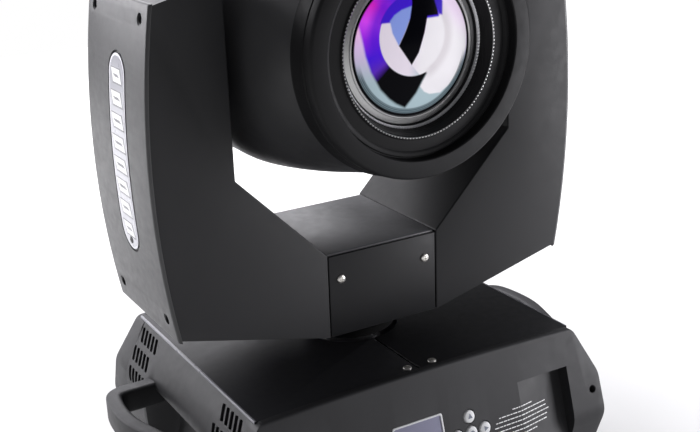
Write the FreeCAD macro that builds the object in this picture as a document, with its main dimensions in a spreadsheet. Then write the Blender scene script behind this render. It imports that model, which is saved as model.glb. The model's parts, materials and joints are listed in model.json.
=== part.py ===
# Moving head light: a base with two carry handles, a yoke that pans on it and a head that tilts in
# the yoke. Millimetres, +Z up, +X to the operator's right, the lens looking along -Y at rest.
# The origin is the middle of the footprint, on the surface that the feet stand on.
import FreeCAD
import Part
import Sketcher
import math
import os
import re

DIMENSIONS = {
    # base
    "base_top": 150.0, "base_half_width": 163.0, "base_half_depth": 132.0, "cover_half_depth": 127.0,
    "shoulder_half_width": 186.0, "shoulder_level": 104.0, "kink_half_width": 187.0,
    "kink_half_depth": 152.0, "kink_level": 67.0, "foot_half_width": 179.0, "foot_half_depth": 144.0,
    "bezel_half_depth": 116.0, "wall": 3.0, "gauge": 2.0, "cover_seam": 0.3,
    "foot_height": 12.0, "foot_radius": 15.0, "foot_spread_x": 150.0, "foot_spread_y": 116.0,
    "recess_half_width": 160.0, "recess_top": 94.0, "recess_level": 72.0, "recess_foot": 42.0,
    "bracket_spacing": 120.0, "bracket_hole_radius": 5.25,
    # carry handles
    "handle_reach": 231.0, "handle_width": 14.0, "handle_low": 89.0, "handle_high": 113.0,
    "handle_front": -108.0, "handle_rear": 68.0, "handle_corner": 16.0,
    # control panel
    "display_left": -44.0, "display_right": 8.0, "display_low": 72.0, "display_high": 114.0,
    "button_radius": 5.9, "button_hole_radius": 6.3, "button_length": 9.0, "button_proud": 2.0,
    "button_middle_x": 35.0, "button_middle_z": 90.0, "button_pitch_x": 14.5, "button_pitch_z": 14.0,
    "display_rim": 0.4, "display_front": -1.0, "display_back": -3.0,
    "board_left": -50.0, "board_right": 66.0, "board_low": 60.0, "board_high": 118.0,
    "board_front": -15.0, "board_back": -17.0,
    "pocket_near": 92.0, "pocket_far": 150.0, "pocket_low": 40.0, "pocket_high": 118.0,
    "pocket_depth": 13.0, "pocket_floor": 8.0,
    # rear connectors
    "socket_radius": 11.0, "socket_wall": 1.5, "socket_depth": 18.0, "socket_level": 84.0,
    "socket_length": 22.0, "socket_proud": 1.0, "socket_gap": 0.3,
    "dmx_in_x": -30.0, "dmx_out_x": 10.0, "power_x": 70.0,
    # parts inside the base
    "bridge_half_width": 120.0, "bridge_half_depth": 52.0, "bridge_level": 118.0,
    "supply_half_width": 100.0, "supply_near": 58.0, "supply_far": 110.0, "supply_height": 42.0,
    "ballast_left": -100.0, "ballast_right": 40.0, "ballast_near": -110.0, "ballast_far": -58.0,
    "ballast_height": 40.0,
    # fasteners
    "screw_radius": 4.0, "screw_proud": 2.0, "panel_screw_x": 44.0, "panel_screw_z": 226.3,
    # pan joint
    "pan_radius": 30.0, "pan_bore": 22.0, "pan_flange_radius": 48.0, "pan_flange": 6.0,
    "pan_top": 206.0, "pan_pulley_radius": 45.0, "pulley_low": 190.0, "pulley_high": 200.0,
    "neck_radius": 44.0, "neck_low": 152.0, "bearing_radius": 40.0, "bearing_width": 9.0,
    "running_gap": 0.05, "belt_gap": 0.3, "belt_thickness": 1.6, "motor_pulley_radius": 10.0,
    "motor_shaft_radius": 4.0, "motor_side": 57.0, "motor_standoff": 6.0, "pan_motor_x": 104.0,
    "pan_motor_length": 54.0,
    # yoke
    "yoke_half_depth": 67.6, "cross_half_width": 56.2, "cross_low": 172.8, "cross_top": 250.3,
    "arm_inner": 138.0, "slope_top": 333.0, "arm_corner_x": 198.5, "arm_corner_z": 205.8,
    "arm_top_inner": 495.0, "arm_top_outer": 481.9, "arm_bulge": 210.5, "arm_bulge_radius": 774.0,
    "arm_bulge_level": 343.9, "arm_outside": 230.0,
    "badge_half_width": 17.5, "badge_low": 272.0, "badge_high": 437.0, "badge_thickness": 1.2,
    "badge_y": -5.0,
    # tilt joint
    "tilt_level": 432.5, "tilt_radius": 15.0, "tilt_bearing_radius": 24.0, "tilt_bearing_width": 7.0,
    "tilt_shaft_end": 160.0, "tilt_pulley_radius": 38.0, "tilt_belt_near": 146.0,
    "tilt_belt_far": 156.0, "tilt_motor_level": 290.0, "tilt_motor_length": 40.0,
    "tilt_standoff": 4.0,
    # head
    "bezel_radius": 104.4, "bezel_back_radius": 107.5, "bezel_front": 140.0, "bezel_back": 114.0,
    "bezel_face_radius": 88.5, "bezel_step": 131.8, "bezel_cone_radius": 72.7,
    "bezel_throat_radius": 63.0, "bezel_throat": 116.0, "shell_half_width": 130.0,
    "shell_half_height": 117.0, "shell_front": 116.0, "shell_split": 30.0, "shell_rear": 140.0,
    "lens_radius": 55.5, "lens_front": 124.0, "lens_edge": 118.5, "lens_back": 108.0,
    "chassis_half_width": 98.0, "chassis_front": 95.0, "chassis_rear": 100.0, "chassis_half_height": 40.0,
    "wheel_offset": 34.0, "wheel_radius": 48.0, "wheel_thickness": 1.5, "wheel_hole_radius": 9.0,
    "wheel_holes": 8.0, "color_wheel_y": 10.0, "gobo_wheel_y": 4.0,
    "effect_motor_radius": 17.0, "effect_motor_y": 12.0, "effect_motor_length": 22.0,
    "rod_radius": 3.0, "rod_x": 74.0, "rod_z": 36.0, "carriage_y": -60.0, "carriage_thickness": 8.0,
    "carriage_half_height": 38.0, "carriage_margin": 8.0, "carriage_window": 30.0, "carriage_lip": 5.0,
    "prism_radius": 20.0, "prism_pivot_x": 60.0, "prism_pivot_z": -50.0, "prism_front": -20.0,
    "prism_back": -12.0, "prism_hub_radius": 7.0, "prism_link_width": 12.0, "prism_link_y": -19.0,
    "prism_link_thickness": 3.0, "prism_hub_back": -13.0, "prism_motor_radius": 9.0,
    "prism_motor_rear": 1.0,
    "reflector_radius": 32.0, "reflector_front": 50.0, "reflector_back": 88.0, "reflector_wall": 2.0,
    "reflector_bore": 7.0, "reflector_knee": 8.0,
    "bulb_y": 66.0, "bulb_length": 12.0, "bulb_radius": 5.0, "lamp_stem_radius": 4.0,
    "lamp_base_radius": 39.0, "lamp_base_thickness": 4.0,
    "fan_side": 80.0, "fan_radius": 37.0, "fan_near": 104.0, "fan_far": 119.0, "fan_hub_radius": 14.0,
    "blade_root": 9.0, "blade_tip": 36.0, "blade_width": 7.0, "blade_thickness": 2.0,
    "blade_inset": 5.5, "blade_pitch": 35.0, "blades": 7.0,
}

doc = FreeCAD.newDocument("moving_head_light")
sheet = doc.addObject("Spreadsheet::Sheet", "Dims")
for row, (alias, value) in enumerate(DIMENSIONS.items(), start=1):
    sheet.set("A%d" % row, alias)
    sheet.set("B%d" % row, str(value))
    sheet.setAlias("B%d" % row, alias)
doc.recompute()


# ---------------------------------------------------------------- helpers
def bound(text):
    """The expression with every driving dimension's name pointed at its cell."""
    return re.sub(r"[a-z][a-z_]*", lambda word: "Dims." + word.group()
                  if word.group() in DIMENSIONS else word.group(), str(text))


def size(name):
    """A driving dimension as the sheet holds it, for the shapes made with Part's functions."""
    return float(sheet.get(name))


def value_of(text):
    """What an expression of driving dimensions comes to, to draw an outline before it is bound."""
    value = sheet.evalExpression(bound(text))
    return float(getattr(value, "Value", value))


def place(item, x="0", y="0", z="0"):
    for axis, text in zip("xyz", (x, y, z)):
        item.setExpression("Placement.Base." + axis, bound(text))
    return item


def box(name, x, y, z):
    """A box between two expressions along each axis."""
    item = doc.addObject("Part::Box", name)
    for side, (low, high) in zip(("Length", "Width", "Height"), (x, y, z)):
        item.setExpression(side, bound("(%s) - (%s)" % (high, low)))
    return place(item, x[0], y[0], z[0])


TURN_TO = {
    "x": FreeCAD.Rotation(FreeCAD.Vector(0, 1, 0), 90),
    "y": FreeCAD.Rotation(FreeCAD.Vector(1, 0, 0), -90),
    "z": FreeCAD.Rotation(),
}


def rod(name, radius, axis, span, centre):
    """A cylinder along an axis, between two expressions, with its centre in the other two axes."""
    item = doc.addObject("Part::Cylinder", name)
    item.Placement = FreeCAD.Placement(FreeCAD.Vector(), TURN_TO[axis])
    item.setExpression("Radius", bound(radius))
    item.setExpression("Height", bound("(%s) - (%s)" % (span[1], span[0])))
    position = list(centre)
    position.insert("xyz".index(axis), span[0])
    return place(item, *position)


def cut(name, base, *tools):
    for number, tool in enumerate(tools, start=1):
        item = doc.addObject("Part::Cut", name if number == len(tools) else "%s_cut%d" % (name, number))
        item.Base = base
        item.Tool = tool
        base = item
    return base


def fuse(name, *items):
    item = doc.addObject("Part::MultiFuse", name)
    item.Shapes = list(items)
    return item


def common(name, *items):
    item = doc.addObject("Part::MultiCommon", name)
    item.Shapes = list(items)
    return item


def group(name, *items):
    item = doc.addObject("Part::Compound", name)
    item.Links = list(items)
    return item


def mirrored(name, source, normal):
    item = doc.addObject("Part::Mirroring", name)
    item.Source = source
    item.Normal = FreeCAD.Vector(*normal)
    return item


def tube(name, outer, inner, axis, span, centre):
    clear = ("(%s) - 1" % span[0], "(%s) + 1" % span[1])
    return cut(name, rod(name + "_outside", outer, axis, span, centre),
               rod(name + "_bore", inner, axis, clear, centre))


def plane_of(body, role):
    return next(item for item in body.Origin.OriginFeatures if item.Role == role)


def outline(body, name, role, points, offset="0"):
    """A closed outline of straight lines on one of the body's planes, each corner bound to the sheet."""
    sketch = body.newObject("Sketcher::SketchObject", name)
    sketch.AttachmentSupport = [(plane_of(body, role), "")]
    sketch.MapMode = "FlatFace"
    sketch.setExpression("AttachmentOffset.Base.z", bound(offset))
    corners = [FreeCAD.Vector(value_of(a), value_of(b), 0) for a, b in points]
    for number, corner in enumerate(corners):
        sketch.addGeometry(Part.LineSegment(corner, corners[(number + 1) % len(corners)]))
    for number in range(len(corners)):
        following = (number + 1) % len(corners)
        sketch.addConstraint(Sketcher.Constraint("Coincident", number, 2, following, 1))
    for number, (corner, texts) in enumerate(zip(corners, points)):
        for kind, coordinate, text, axis in (("DistanceX", corner.x, texts[0], -2),
                                             ("DistanceY", corner.y, texts[1], -1)):
            if abs(coordinate) < 1e-9:
                sketch.addConstraint(Sketcher.Constraint("PointOnObject", number, 1, axis))
                continue
            index = sketch.addConstraint(Sketcher.Constraint(kind, -1, 1, number, 1, coordinate))
            label = "%s%d" % (kind, number)
            sketch.renameConstraint(index, label)
            sketch.setExpression("Constraints." + label, bound(text))
    return sketch


def prism(name, role, points, span):
    """A body padded from an outline: XY goes along +Z, YZ along +X, XZ across Y."""
    body = doc.addObject("PartDesign::Body", name)
    low, high = span
    offset = "-(%s)" % high if role == "XZ_Plane" else low
    sketch = outline(body, name + "_outline", role, points, offset)
    pad = body.newObject("PartDesign::Pad", name + "_pad")
    pad.Profile = sketch
    pad.setExpression("Length", bound("(%s) - (%s)" % (high, low)))
    body.Tip = pad
    return body


def turned(name, points, x="0", z="tilt_level"):
    """A body turned about the optical axis, from an outline of radius against Y."""
    body = doc.addObject("PartDesign::Body", name)
    sketch = outline(body, name + "_outline", "XY_Plane", points)
    turn = body.newObject("PartDesign::Revolution", name + "_turn")
    turn.Profile = sketch
    turn.ReferenceAxis = (sketch, ["V_Axis"])
    turn.Angle = 360.0
    body.Tip = turn
    return place(body, x=x, z=z)


def solid_feature(name, shape):
    item = doc.addObject("Part::Feature", name)
    item.Shape = shape
    return item


nodes = {}


def keep(name, item):
    """Makes an object a sub-part of the light, under the name of its file."""
    item.Label = name
    nodes[name] = item
    return item


def both(*points):
    """An outline symmetric about the vertical, from its right half, top to bottom."""
    return list(points) + [("-(%s)" % a, b) for a, b in reversed(points)]


# ---------------------------------------------------------------- base: plate, feet, covers
plate_body = doc.addObject("PartDesign::Body", "plate_body")
plate_outline = outline(plate_body, "plate_outline", "XY_Plane",
                        [("-foot_half_width", "-foot_half_depth"), ("foot_half_width", "-foot_half_depth"),
                         ("foot_half_width", "foot_half_depth"), ("-foot_half_width", "foot_half_depth")],
                        "foot_height")
plate_pad = plate_body.newObject("PartDesign::Pad", "plate_pad")
plate_pad.Profile = plate_outline
plate_pad.setExpression("Length", bound("gauge"))
plate_body.Tip = plate_pad
bracket_holes = [rod("bracket_hole_%d%d" % (a, b), "bracket_hole_radius", "z",
                     ("foot_height - 1", "foot_height + gauge + 1"),
                     ("%d * bracket_spacing / 2" % a, "%d * bracket_spacing / 2" % b))
                 for a in (-1, 1) for b in (-1, 1)]
keep("base_plate", cut("base_plate", plate_body, *bracket_holes))

feet = [rod("foot_%d%d" % (a, b), "foot_radius", "z", ("0", "foot_height"),
            ("%d * foot_spread_x" % a, "%d * foot_spread_y" % b)) for a in (-1, 1) for b in (-1, 1)]
keep("rubber_feet", group("rubber_feet", *feet))

keep("base_bridge", prism("base_bridge", "XZ_Plane",
     both(("bridge_half_width", "bridge_level + wall"), ("bridge_half_width", "foot_height + gauge"),
          ("bridge_half_width - wall", "foot_height + gauge"), ("bridge_half_width - wall", "bridge_level")),
     ("-bridge_half_depth", "bridge_half_depth")))

neck_hole = rod("neck_hole", "neck_radius + 3", "z", ("base_top - 5", "base_top + 1"), ("0", "0"))
right_cover = box("right_cover_sheet", ("cover_seam", "base_half_width"),
                  ("-cover_half_depth", "cover_half_depth"), ("base_top - gauge", "base_top"))
left_cover = box("left_cover_sheet", ("-base_half_width", "-cover_seam"),
                 ("-cover_half_depth", "cover_half_depth"), ("base_top - gauge", "base_top"))
keep("base_top_cover_right", cut("base_top_cover_right", right_cover, neck_hole))
keep("base_top_cover_left", cut("base_top_cover_left", left_cover, neck_hole))

# ---------------------------------------------------------------- base: moulded ends
end_profile = prism("end_profile", "XZ_Plane",
                    both(("base_half_width", "base_top"), ("shoulder_half_width", "shoulder_level"),
                         ("kink_half_width", "kink_level"), ("foot_half_width", "foot_height + gauge")),
                    ("-kink_half_depth - 1", "-bezel_half_depth"))
end_hollow = prism("end_hollow", "XZ_Plane",
                   both(("base_half_width - wall", "base_top - wall - gauge"),
                        ("shoulder_half_width - wall", "shoulder_level"),
                        ("kink_half_width - wall", "kink_level"),
                        ("foot_half_width - wall", "foot_height + gauge + wall")),
                   ("-kink_half_depth - 1", "-bezel_half_depth + 1"))
lean_profile = prism("lean_profile", "YZ_Plane",
                     [("-cover_half_depth", "base_top"), ("-base_half_depth", "base_top"),
                      ("-base_half_depth - wall", "base_top - 4"), ("-kink_half_depth", "kink_level"),
                      ("-foot_half_depth", "foot_height + gauge"),
                      ("-bezel_half_depth", "foot_height + gauge"),
                      ("-bezel_half_depth", "base_top - gauge"), ("-cover_half_depth", "base_top - gauge")],
                     ("-kink_half_width - 1", "kink_half_width + 1"))
lean_hollow = prism("lean_hollow", "YZ_Plane",
                    [("-bezel_half_depth + 1", "base_top - wall - gauge"),
                     ("-base_half_depth", "base_top - wall - gauge"),
                     ("-kink_half_depth + wall", "kink_level"),
                     ("-foot_half_depth + wall", "foot_height + gauge + wall"),
                     ("-bezel_half_depth + 1", "foot_height + gauge + wall")],
                    ("-kink_half_width - 1", "kink_half_width + 1"))
end_shell = cut("end_shell", common("end_outside", end_profile, lean_profile),
                common("end_inside", end_hollow, lean_hollow))
rear_shell = mirrored("rear_shell", end_shell, (0, 1, 0))

# The face of each moulded end leans forward towards the kink.
doc.recompute()
LEAN = math.atan2(size("kink_half_depth") - size("base_half_depth") - size("wall"),
                  size("base_top") - 4 - size("kink_level"))
FACE_OUT = FreeCAD.Vector(0, -math.cos(LEAN), math.sin(LEAN))


def on_face(x, z):
    """The point of the front face at a place across and a height."""
    run = (size("base_top") - 4 - z) * math.tan(LEAN)
    return FreeCAD.Vector(x, -size("base_half_depth") - size("wall") - run, z)


def face_turn():
    """The turn that takes +Z to the front face's outward normal and keeps +X."""
    return FreeCAD.Rotation(FreeCAD.Vector(1, 0, 0), FreeCAD.Vector(0, math.sin(LEAN), math.cos(LEAN)),
                            FACE_OUT, "ZXY")


def face_box(name, x, z, depth):
    """A box square to the front face: x and z spans on the face, depth from the face, outwards positive."""
    item = doc.addObject("Part::Box", name)
    item.Length = x[1] - x[0]
    item.Width = (z[1] - z[0]) / math.cos(LEAN)
    item.Height = depth[1] - depth[0]
    corner = on_face(x[0], z[0]) + FACE_OUT * depth[0]
    item.Placement = FreeCAD.Placement(corner, face_turn())
    return item


def face_rod(name, radius, x, z, depth):
    """A round pin or hole square to the front face."""
    item = doc.addObject("Part::Cylinder", name)
    item.setExpression("Radius", bound(radius))
    item.Height = depth[1] - depth[0]
    item.Placement = FreeCAD.Placement(on_face(x, z) + FACE_OUT * depth[0], face_turn())
    return item


def pocket_wedge(name, side, margin, proud):
    """A wedge in the front face beside the panel, deepest at its outer end, grown by a margin."""
    near, far = size("pocket_near") - margin, size("pocket_far") + margin
    depth, floor = size("pocket_depth") + margin, far - size("pocket_floor") - margin
    corners = [FreeCAD.Vector(side * x, 0, out) for x, out in
               ((near, proud), (far, proud), (far, -depth), (floor, -depth), (near, -margin))]
    height = (size("pocket_high") - size("pocket_low")) / math.cos(LEAN) + 2 * margin
    face = Part.Face(Part.makePolygon(corners + corners[:1]))
    wedge = solid_feature(name, face.extrude(FreeCAD.Vector(0, height, 0)))
    foot = on_face(0, size("pocket_low") - margin * math.cos(LEAN))
    wedge.Placement = FreeCAD.Placement(foot, face_turn())
    return wedge


BUTTON_PLACES = {"up": (0, 1), "down": (0, -1), "left": (-1, 0), "right": (1, 0), "enter": (0, 0)}
button_spots = {name: (size("button_middle_x") + across * size("button_pitch_x"),
                       size("button_middle_z") + rise * size("button_pitch_z"))
                for name, (across, rise) in BUTTON_PLACES.items()}
display_x = (size("display_left"), size("display_right"))
display_z = (size("display_low"), size("display_high"))
through = (-2 * size("wall"), size("wall"))
window_hole = face_box("window_hole", display_x, display_z, through)
button_holes = [face_rod("button_hole_" + name, "button_hole_radius", spot[0], spot[1], through)
                for name, spot in button_spots.items()]
pockets = [pocket_wedge("pocket_%d" % side, side, 0.0, size("wall")) for side in (-1, 1)]
pocket_walls = [pocket_wedge("pocket_wall_%d" % side, side, size("wall"), 0.0) for side in (-1, 1)]
front_shell = fuse("front_shell", end_shell, *pocket_walls)
keep("base_front_bezel", cut("base_front_bezel", front_shell, *pockets, window_hole, *button_holes))

display_rim = size("display_rim")
keep("display_window", face_box("display_window",
                                (display_x[0] + display_rim, display_x[1] - display_rim),
                                (display_z[0] + display_rim, display_z[1] - display_rim),
                                (size("display_back"), size("display_front"))))
keep("control_board", face_box("control_board", (size("board_left"), size("board_right")),
                               (size("board_low"), size("board_high")),
                               (size("board_back"), size("board_front"))))
for name, spot in button_spots.items():
    node = "button_" + name
    depth = (size("button_proud") - size("button_length"), size("button_proud"))
    keep(node, face_rod(node, "button_radius", spot[0], spot[1], depth))

# ---------------------------------------------------------------- base: rear connectors
SOCKETS = {"dmx_in_socket": "dmx_in_x", "dmx_out_socket": "dmx_out_x", "power_inlet": "power_x"}
rear_wall = -on_face(0, size("socket_level")).y
socket_holes = []
for name, across in SOCKETS.items():
    centre = (across, "socket_level")
    socket_holes.append(rod(name + "_hole", "socket_radius + socket_wall + socket_gap", "y",
                            ("%f - socket_length" % rear_wall, "%f + socket_length" % rear_wall), centre))
    barrel = rod(name + "_barrel", "socket_radius + socket_wall", "y",
                 ("%f - socket_length" % rear_wall, "%f + socket_proud" % rear_wall), centre)
    bore = rod(name + "_bore", "socket_radius", "y",
               ("%f + socket_proud - socket_depth" % rear_wall, "%f + socket_length" % rear_wall), centre)
    keep(name, cut(name, barrel, bore))
keep("base_rear_bezel", cut("base_rear_bezel", rear_shell, *socket_holes))

# ---------------------------------------------------------------- base: sides and handles
side_points = [("base_half_width", "base_top - gauge"), ("shoulder_half_width", "shoulder_level"),
               ("recess_half_width + 8", "recess_top"), ("recess_half_width", "recess_level"),
               ("recess_half_width + 6", "recess_foot"), ("foot_half_width", "foot_height + gauge"),
               ("foot_half_width - wall - 0.6", "foot_height + gauge"),
               ("recess_half_width + 6 - wall", "recess_foot"), ("recess_half_width - wall", "recess_level"),
               ("recess_half_width + 8 - wall", "recess_top + 2.5"),
               ("shoulder_half_width - 5", "shoulder_level + 1.5"),
               ("base_half_width - wall - 0.6", "base_top - gauge")]
side_cover = prism("side_cover", "XZ_Plane", side_points, ("-bezel_half_depth", "bezel_half_depth"))
keep("base_right_cover", side_cover)
keep("base_left_cover", mirrored("side_cover_left", side_cover, (1, 0, 0)))


def handle_band():
    """The band in plan: it leaves the side gently at the front, bows out and turns back in at the rear."""
    front, rear = size("handle_front"), size("handle_rear")
    reach, width = size("handle_reach"), size("handle_width")
    inside, corner = size("base_half_width"), size("handle_corner")
    outer = [FreeCAD.Vector(inside + 18, front, 0), FreeCAD.Vector(reach - 28, front + 24, 0),
             FreeCAD.Vector(reach - 7, front + 83, 0), FreeCAD.Vector(reach, rear - 62, 0),
             FreeCAD.Vector(reach - 4, rear - corner, 0)]
    curve = Part.BSplineCurve()
    curve.interpolate(outer)
    inner_curve = Part.BSplineCurve()
    inner_curve.interpolate([FreeCAD.Vector(outer[0].x - 8, outer[0].y + width, 0),
                             FreeCAD.Vector(outer[1].x - width + 2, outer[1].y + 8, 0),
                             FreeCAD.Vector(outer[2].x - width, outer[2].y + 2, 0),
                             FreeCAD.Vector(outer[3].x - width, outer[3].y, 0),
                             FreeCAD.Vector(outer[4].x - width, rear - corner, 0)])
    turn_mid = FreeCAD.Vector(outer[4].x - corner * 0.3, rear - corner * 0.3, 0)
    rear_out = FreeCAD.Vector(outer[4].x - corner, rear, 0)
    rear_in = FreeCAD.Vector(inside + 8, rear, 0)
    leg_in = FreeCAD.Vector(inside + 8, rear - width, 0)
    leg_out = FreeCAD.Vector(outer[4].x - width - 2, rear - width, 0)
    edges = [curve.toShape(),
             Part.Arc(outer[4], turn_mid, rear_out).toShape(),
             Part.makeLine(rear_out, rear_in),
             Part.makeLine(rear_in, leg_in),
             Part.makeLine(leg_in, leg_out),
             Part.makeLine(leg_out, inner_curve.EndPoint),
             inner_curve.toShape(),
             Part.makeLine(inner_curve.StartPoint, outer[0])]
    face = Part.Face(Part.Wire(Part.__sortEdges__(edges)))
    band = face.extrude(FreeCAD.Vector(0, 0, size("handle_high") - size("handle_low")))
    band.translate(FreeCAD.Vector(0, 0, size("handle_low")))
    return band


side_envelope = prism("side_envelope", "XZ_Plane",
                      [("0", "base_top - gauge"), ("base_half_width", "base_top - gauge"),
                       ("shoulder_half_width", "shoulder_level"), ("shoulder_half_width", "recess_level"),
                       ("0", "recess_level")],
                      ("-bezel_half_depth", "bezel_half_depth"))
right_handle = cut("right_handle", solid_feature("handle_band", handle_band()), side_envelope)
keep("right_handle", right_handle)
keep("left_handle", mirrored("left_handle", right_handle, (1, 0, 0)))

# ---------------------------------------------------------------- base: parts inside
keep("power_supply", box("power_supply", ("-supply_half_width", "supply_half_width"),
                         ("supply_near", "supply_far"),
                         ("foot_height + gauge", "foot_height + gauge + supply_height")))
keep("lamp_ballast", box("lamp_ballast", ("ballast_left", "ballast_right"),
                         ("ballast_near", "ballast_far"),
                         ("foot_height + gauge", "foot_height + gauge + ballast_height")))

# ---------------------------------------------------------------- pan joint
flange = rod("pan_flange", "pan_flange_radius", "z",
             ("bridge_level + wall", "bridge_level + wall + pan_flange"), ("0", "0"))
stem = rod("pan_stem", "pan_radius", "z", ("bridge_level + wall", "pan_top"), ("0", "0"))
stem_bore = rod("pan_stem_bore", "pan_bore", "z", ("bridge_level", "pan_top + 1"), ("0", "0"))
keep("pan_tube", cut("pan_tube", fuse("pan_tube_solid", flange, stem), stem_bore))
keep("pan_fixed_pulley", tube("pan_fixed_pulley", "pan_pulley_radius", "pan_radius", "z",
                              ("pulley_low", "pulley_high"), ("0", "0")))
keep("pan_bearing", tube("pan_bearing", "bearing_radius", "pan_radius + running_gap", "z",
                         ("cross_low - bearing_width", "cross_low + wall"), ("0", "0")))

# ---------------------------------------------------------------- yoke: crossbar and panels
cross_outside = box("cross_outside", ("-cross_half_width", "cross_half_width"),
                    ("-yoke_half_depth + wall", "yoke_half_depth - wall"), ("cross_low", "cross_top"))
cross_inside = box("cross_inside", ("-cross_half_width - 1", "cross_half_width + 1"),
                   ("-yoke_half_depth + 2 * wall", "yoke_half_depth - 2 * wall"),
                   ("cross_low + wall", "cross_top - wall"))
cross_neck = rod("cross_neck", "neck_radius", "z", ("neck_low", "cross_low"), ("0", "0"))
cross_bore = rod("cross_bore", "bearing_radius", "z", ("neck_low - 1", "cross_low + wall + 1"), ("0", "0"))
keep("yoke_crossbar", cut("yoke_crossbar", fuse("cross_solid", cross_outside, cross_neck),
                          cross_inside, cross_bore))
panel = box("front_panel", ("-cross_half_width + cover_seam", "cross_half_width - cover_seam"),
            ("-yoke_half_depth", "-yoke_half_depth + wall"), ("cross_low", "cross_top - 1"))
keep("yoke_front_panel", panel)
keep("yoke_rear_panel", mirrored("rear_panel", panel, (0, 1, 0)))

# ---------------------------------------------------------------- yoke: arms
arm_profile = prism("arm_profile", "XZ_Plane",
                    [("cross_half_width", "cross_low"), ("arm_corner_x", "arm_corner_z"),
                     ("arm_outside", "arm_corner_z"), ("arm_outside", "arm_top_outer - 6"),
                     ("arm_inner", "arm_top_inner"), ("arm_inner", "slope_top"),
                     ("cross_half_width", "cross_top")],
                    ("-yoke_half_depth", "yoke_half_depth"))
arm_hollow = prism("arm_hollow", "XZ_Plane",
                   [("cross_half_width - 1", "cross_low + wall"), ("arm_corner_x", "arm_corner_z + wall"),
                    ("arm_outside + 1", "arm_corner_z + wall"),
                    ("arm_outside + 1", "arm_top_outer - 6 - wall"),
                    ("arm_inner + wall", "arm_top_inner - wall"), ("arm_inner + wall", "slope_top - 1"),
                    ("cross_half_width - 1", "cross_top - wall - 2")],
                   ("-yoke_half_depth + wall", "yoke_half_depth - wall"))
bulge_centre = ("arm_bulge - arm_bulge_radius", "arm_bulge_level")
bulge_span = ("-yoke_half_depth - 1", "yoke_half_depth + 1")
bulge_outside = rod("bulge_outside", "arm_bulge_radius", "y", bulge_span, bulge_centre)
bulge_inside = rod("bulge_inside", "arm_bulge_radius - wall", "y", bulge_span, bulge_centre)
bulge_badge = rod("bulge_badge", "arm_bulge_radius + badge_thickness", "y", bulge_span, bulge_centre)
arm_solid = common("arm_solid", arm_profile, bulge_outside)
bearing_hole = rod("bearing_hole", "tilt_bearing_radius", "x", ("arm_inner - 1", "arm_inner + wall + 1"),
                   ("0", "tilt_level"))
right_arm = cut("right_arm_frame", common("right_arm_solid", arm_solid, bulge_inside), arm_hollow,
                bearing_hole)
right_cover_arm = cut("right_arm_cover", arm_solid, bulge_inside)
keep("right_arm_frame", right_arm)
keep("right_arm_cover", right_cover_arm)
keep("left_arm_frame", mirrored("left_arm_frame", right_arm, (1, 0, 0)))
keep("left_arm_cover", mirrored("left_arm_cover", right_cover_arm, (1, 0, 0)))

# Each arm has an oval nameplate bonded to its bulged outer face.
badge_block = box("badge_block", ("arm_inner", "arm_outside"),
                  ("badge_y - badge_half_width", "badge_y + badge_half_width"),
                  ("badge_low + badge_half_width", "badge_high - badge_half_width"))
badge_ends = [rod("badge_end_%d" % number, "badge_half_width", "x", ("arm_inner", "arm_outside"),
                  ("badge_y", level))
              for number, level in enumerate(("badge_low + badge_half_width",
                                              "badge_high - badge_half_width"))]
badge_oval = fuse("badge_oval", badge_block, *badge_ends)
badge = cut("badge", common("badge_skin", badge_oval, bulge_badge), bulge_outside)
keep("arm_badges", group("arm_badges", badge, mirrored("badge_left", badge, (1, 0, 0))))

# ---------------------------------------------------------------- fasteners
PANEL_FACES = {"front": ("-yoke_half_depth - screw_proud", "-yoke_half_depth"),
               "rear": ("yoke_half_depth", "yoke_half_depth + screw_proud")}
keep("yoke_screws", group("yoke_screws", *[
    rod("panel_screw_%s_%s" % (side, hand), "screw_radius", "y", span, (across, "panel_screw_z"))
    for hand, across in (("right", "panel_screw_x"), ("left", "-panel_screw_x"))
    for side, span in PANEL_FACES.items()]))
COVER_SCREWS = ((-9, -117), (17, -117), (-17, 117), (9, 117))
keep("base_screws", group("base_screws", *[
    rod("cover_screw_%d" % number, "screw_radius", "z", ("base_top", "base_top + screw_proud"),
        (str(x), str(y)))
    for number, (x, y) in enumerate(COVER_SCREWS)]))


# ---------------------------------------------------------------- belt drives
def belt_shape(big, small, distance, width, gap, thickness):
    """A belt loop round a big pulley at the origin and a small one at +X, standing along +Z."""
    def loop(extra):
        first, second = big + extra, small + extra
        lean = math.asin((first - second) / distance)
        up = FreeCAD.Vector(math.sin(lean), math.cos(lean), 0)
        down = FreeCAD.Vector(up.x, -up.y, 0)
        far = FreeCAD.Vector(distance, 0, 0)
        edges = [Part.Arc(up * first, FreeCAD.Vector(-first, 0, 0), down * first).toShape(),
                 Part.makeLine(down * first, far + down * second),
                 Part.Arc(far + down * second, far + FreeCAD.Vector(second, 0, 0),
                          far + up * second).toShape(),
                 Part.makeLine(far + up * second, up * first)]
        return Part.Face(Part.Wire(edges)).extrude(FreeCAD.Vector(0, 0, width))
    return loop(gap + thickness).cut(loop(gap))


belt_width = size("pulley_high") - size("pulley_low") - 2
pan_belt = solid_feature("pan_belt", belt_shape(size("pan_pulley_radius"), size("motor_pulley_radius"),
                                                size("pan_motor_x"), belt_width, size("belt_gap"),
                                                size("belt_thickness")))
keep("pan_belt", place(pan_belt, z="pulley_low + 1"))
keep("pan_motor", box("pan_motor", ("pan_motor_x - motor_side / 2", "pan_motor_x + motor_side / 2"),
                      ("-motor_side / 2", "motor_side / 2"),
                      ("pulley_high + motor_standoff",
                       "pulley_high + motor_standoff + pan_motor_length")))
pan_pinion = rod("pan_pinion", "motor_pulley_radius", "z", ("pulley_low", "pulley_high"),
                 ("pan_motor_x", "0"))
pan_shaft = rod("pan_shaft", "motor_shaft_radius", "z", ("pulley_high", "pulley_high + motor_standoff"),
                ("pan_motor_x", "0"))
keep("pan_motor_pulley", fuse("pan_motor_pulley", pan_pinion, pan_shaft))

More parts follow.
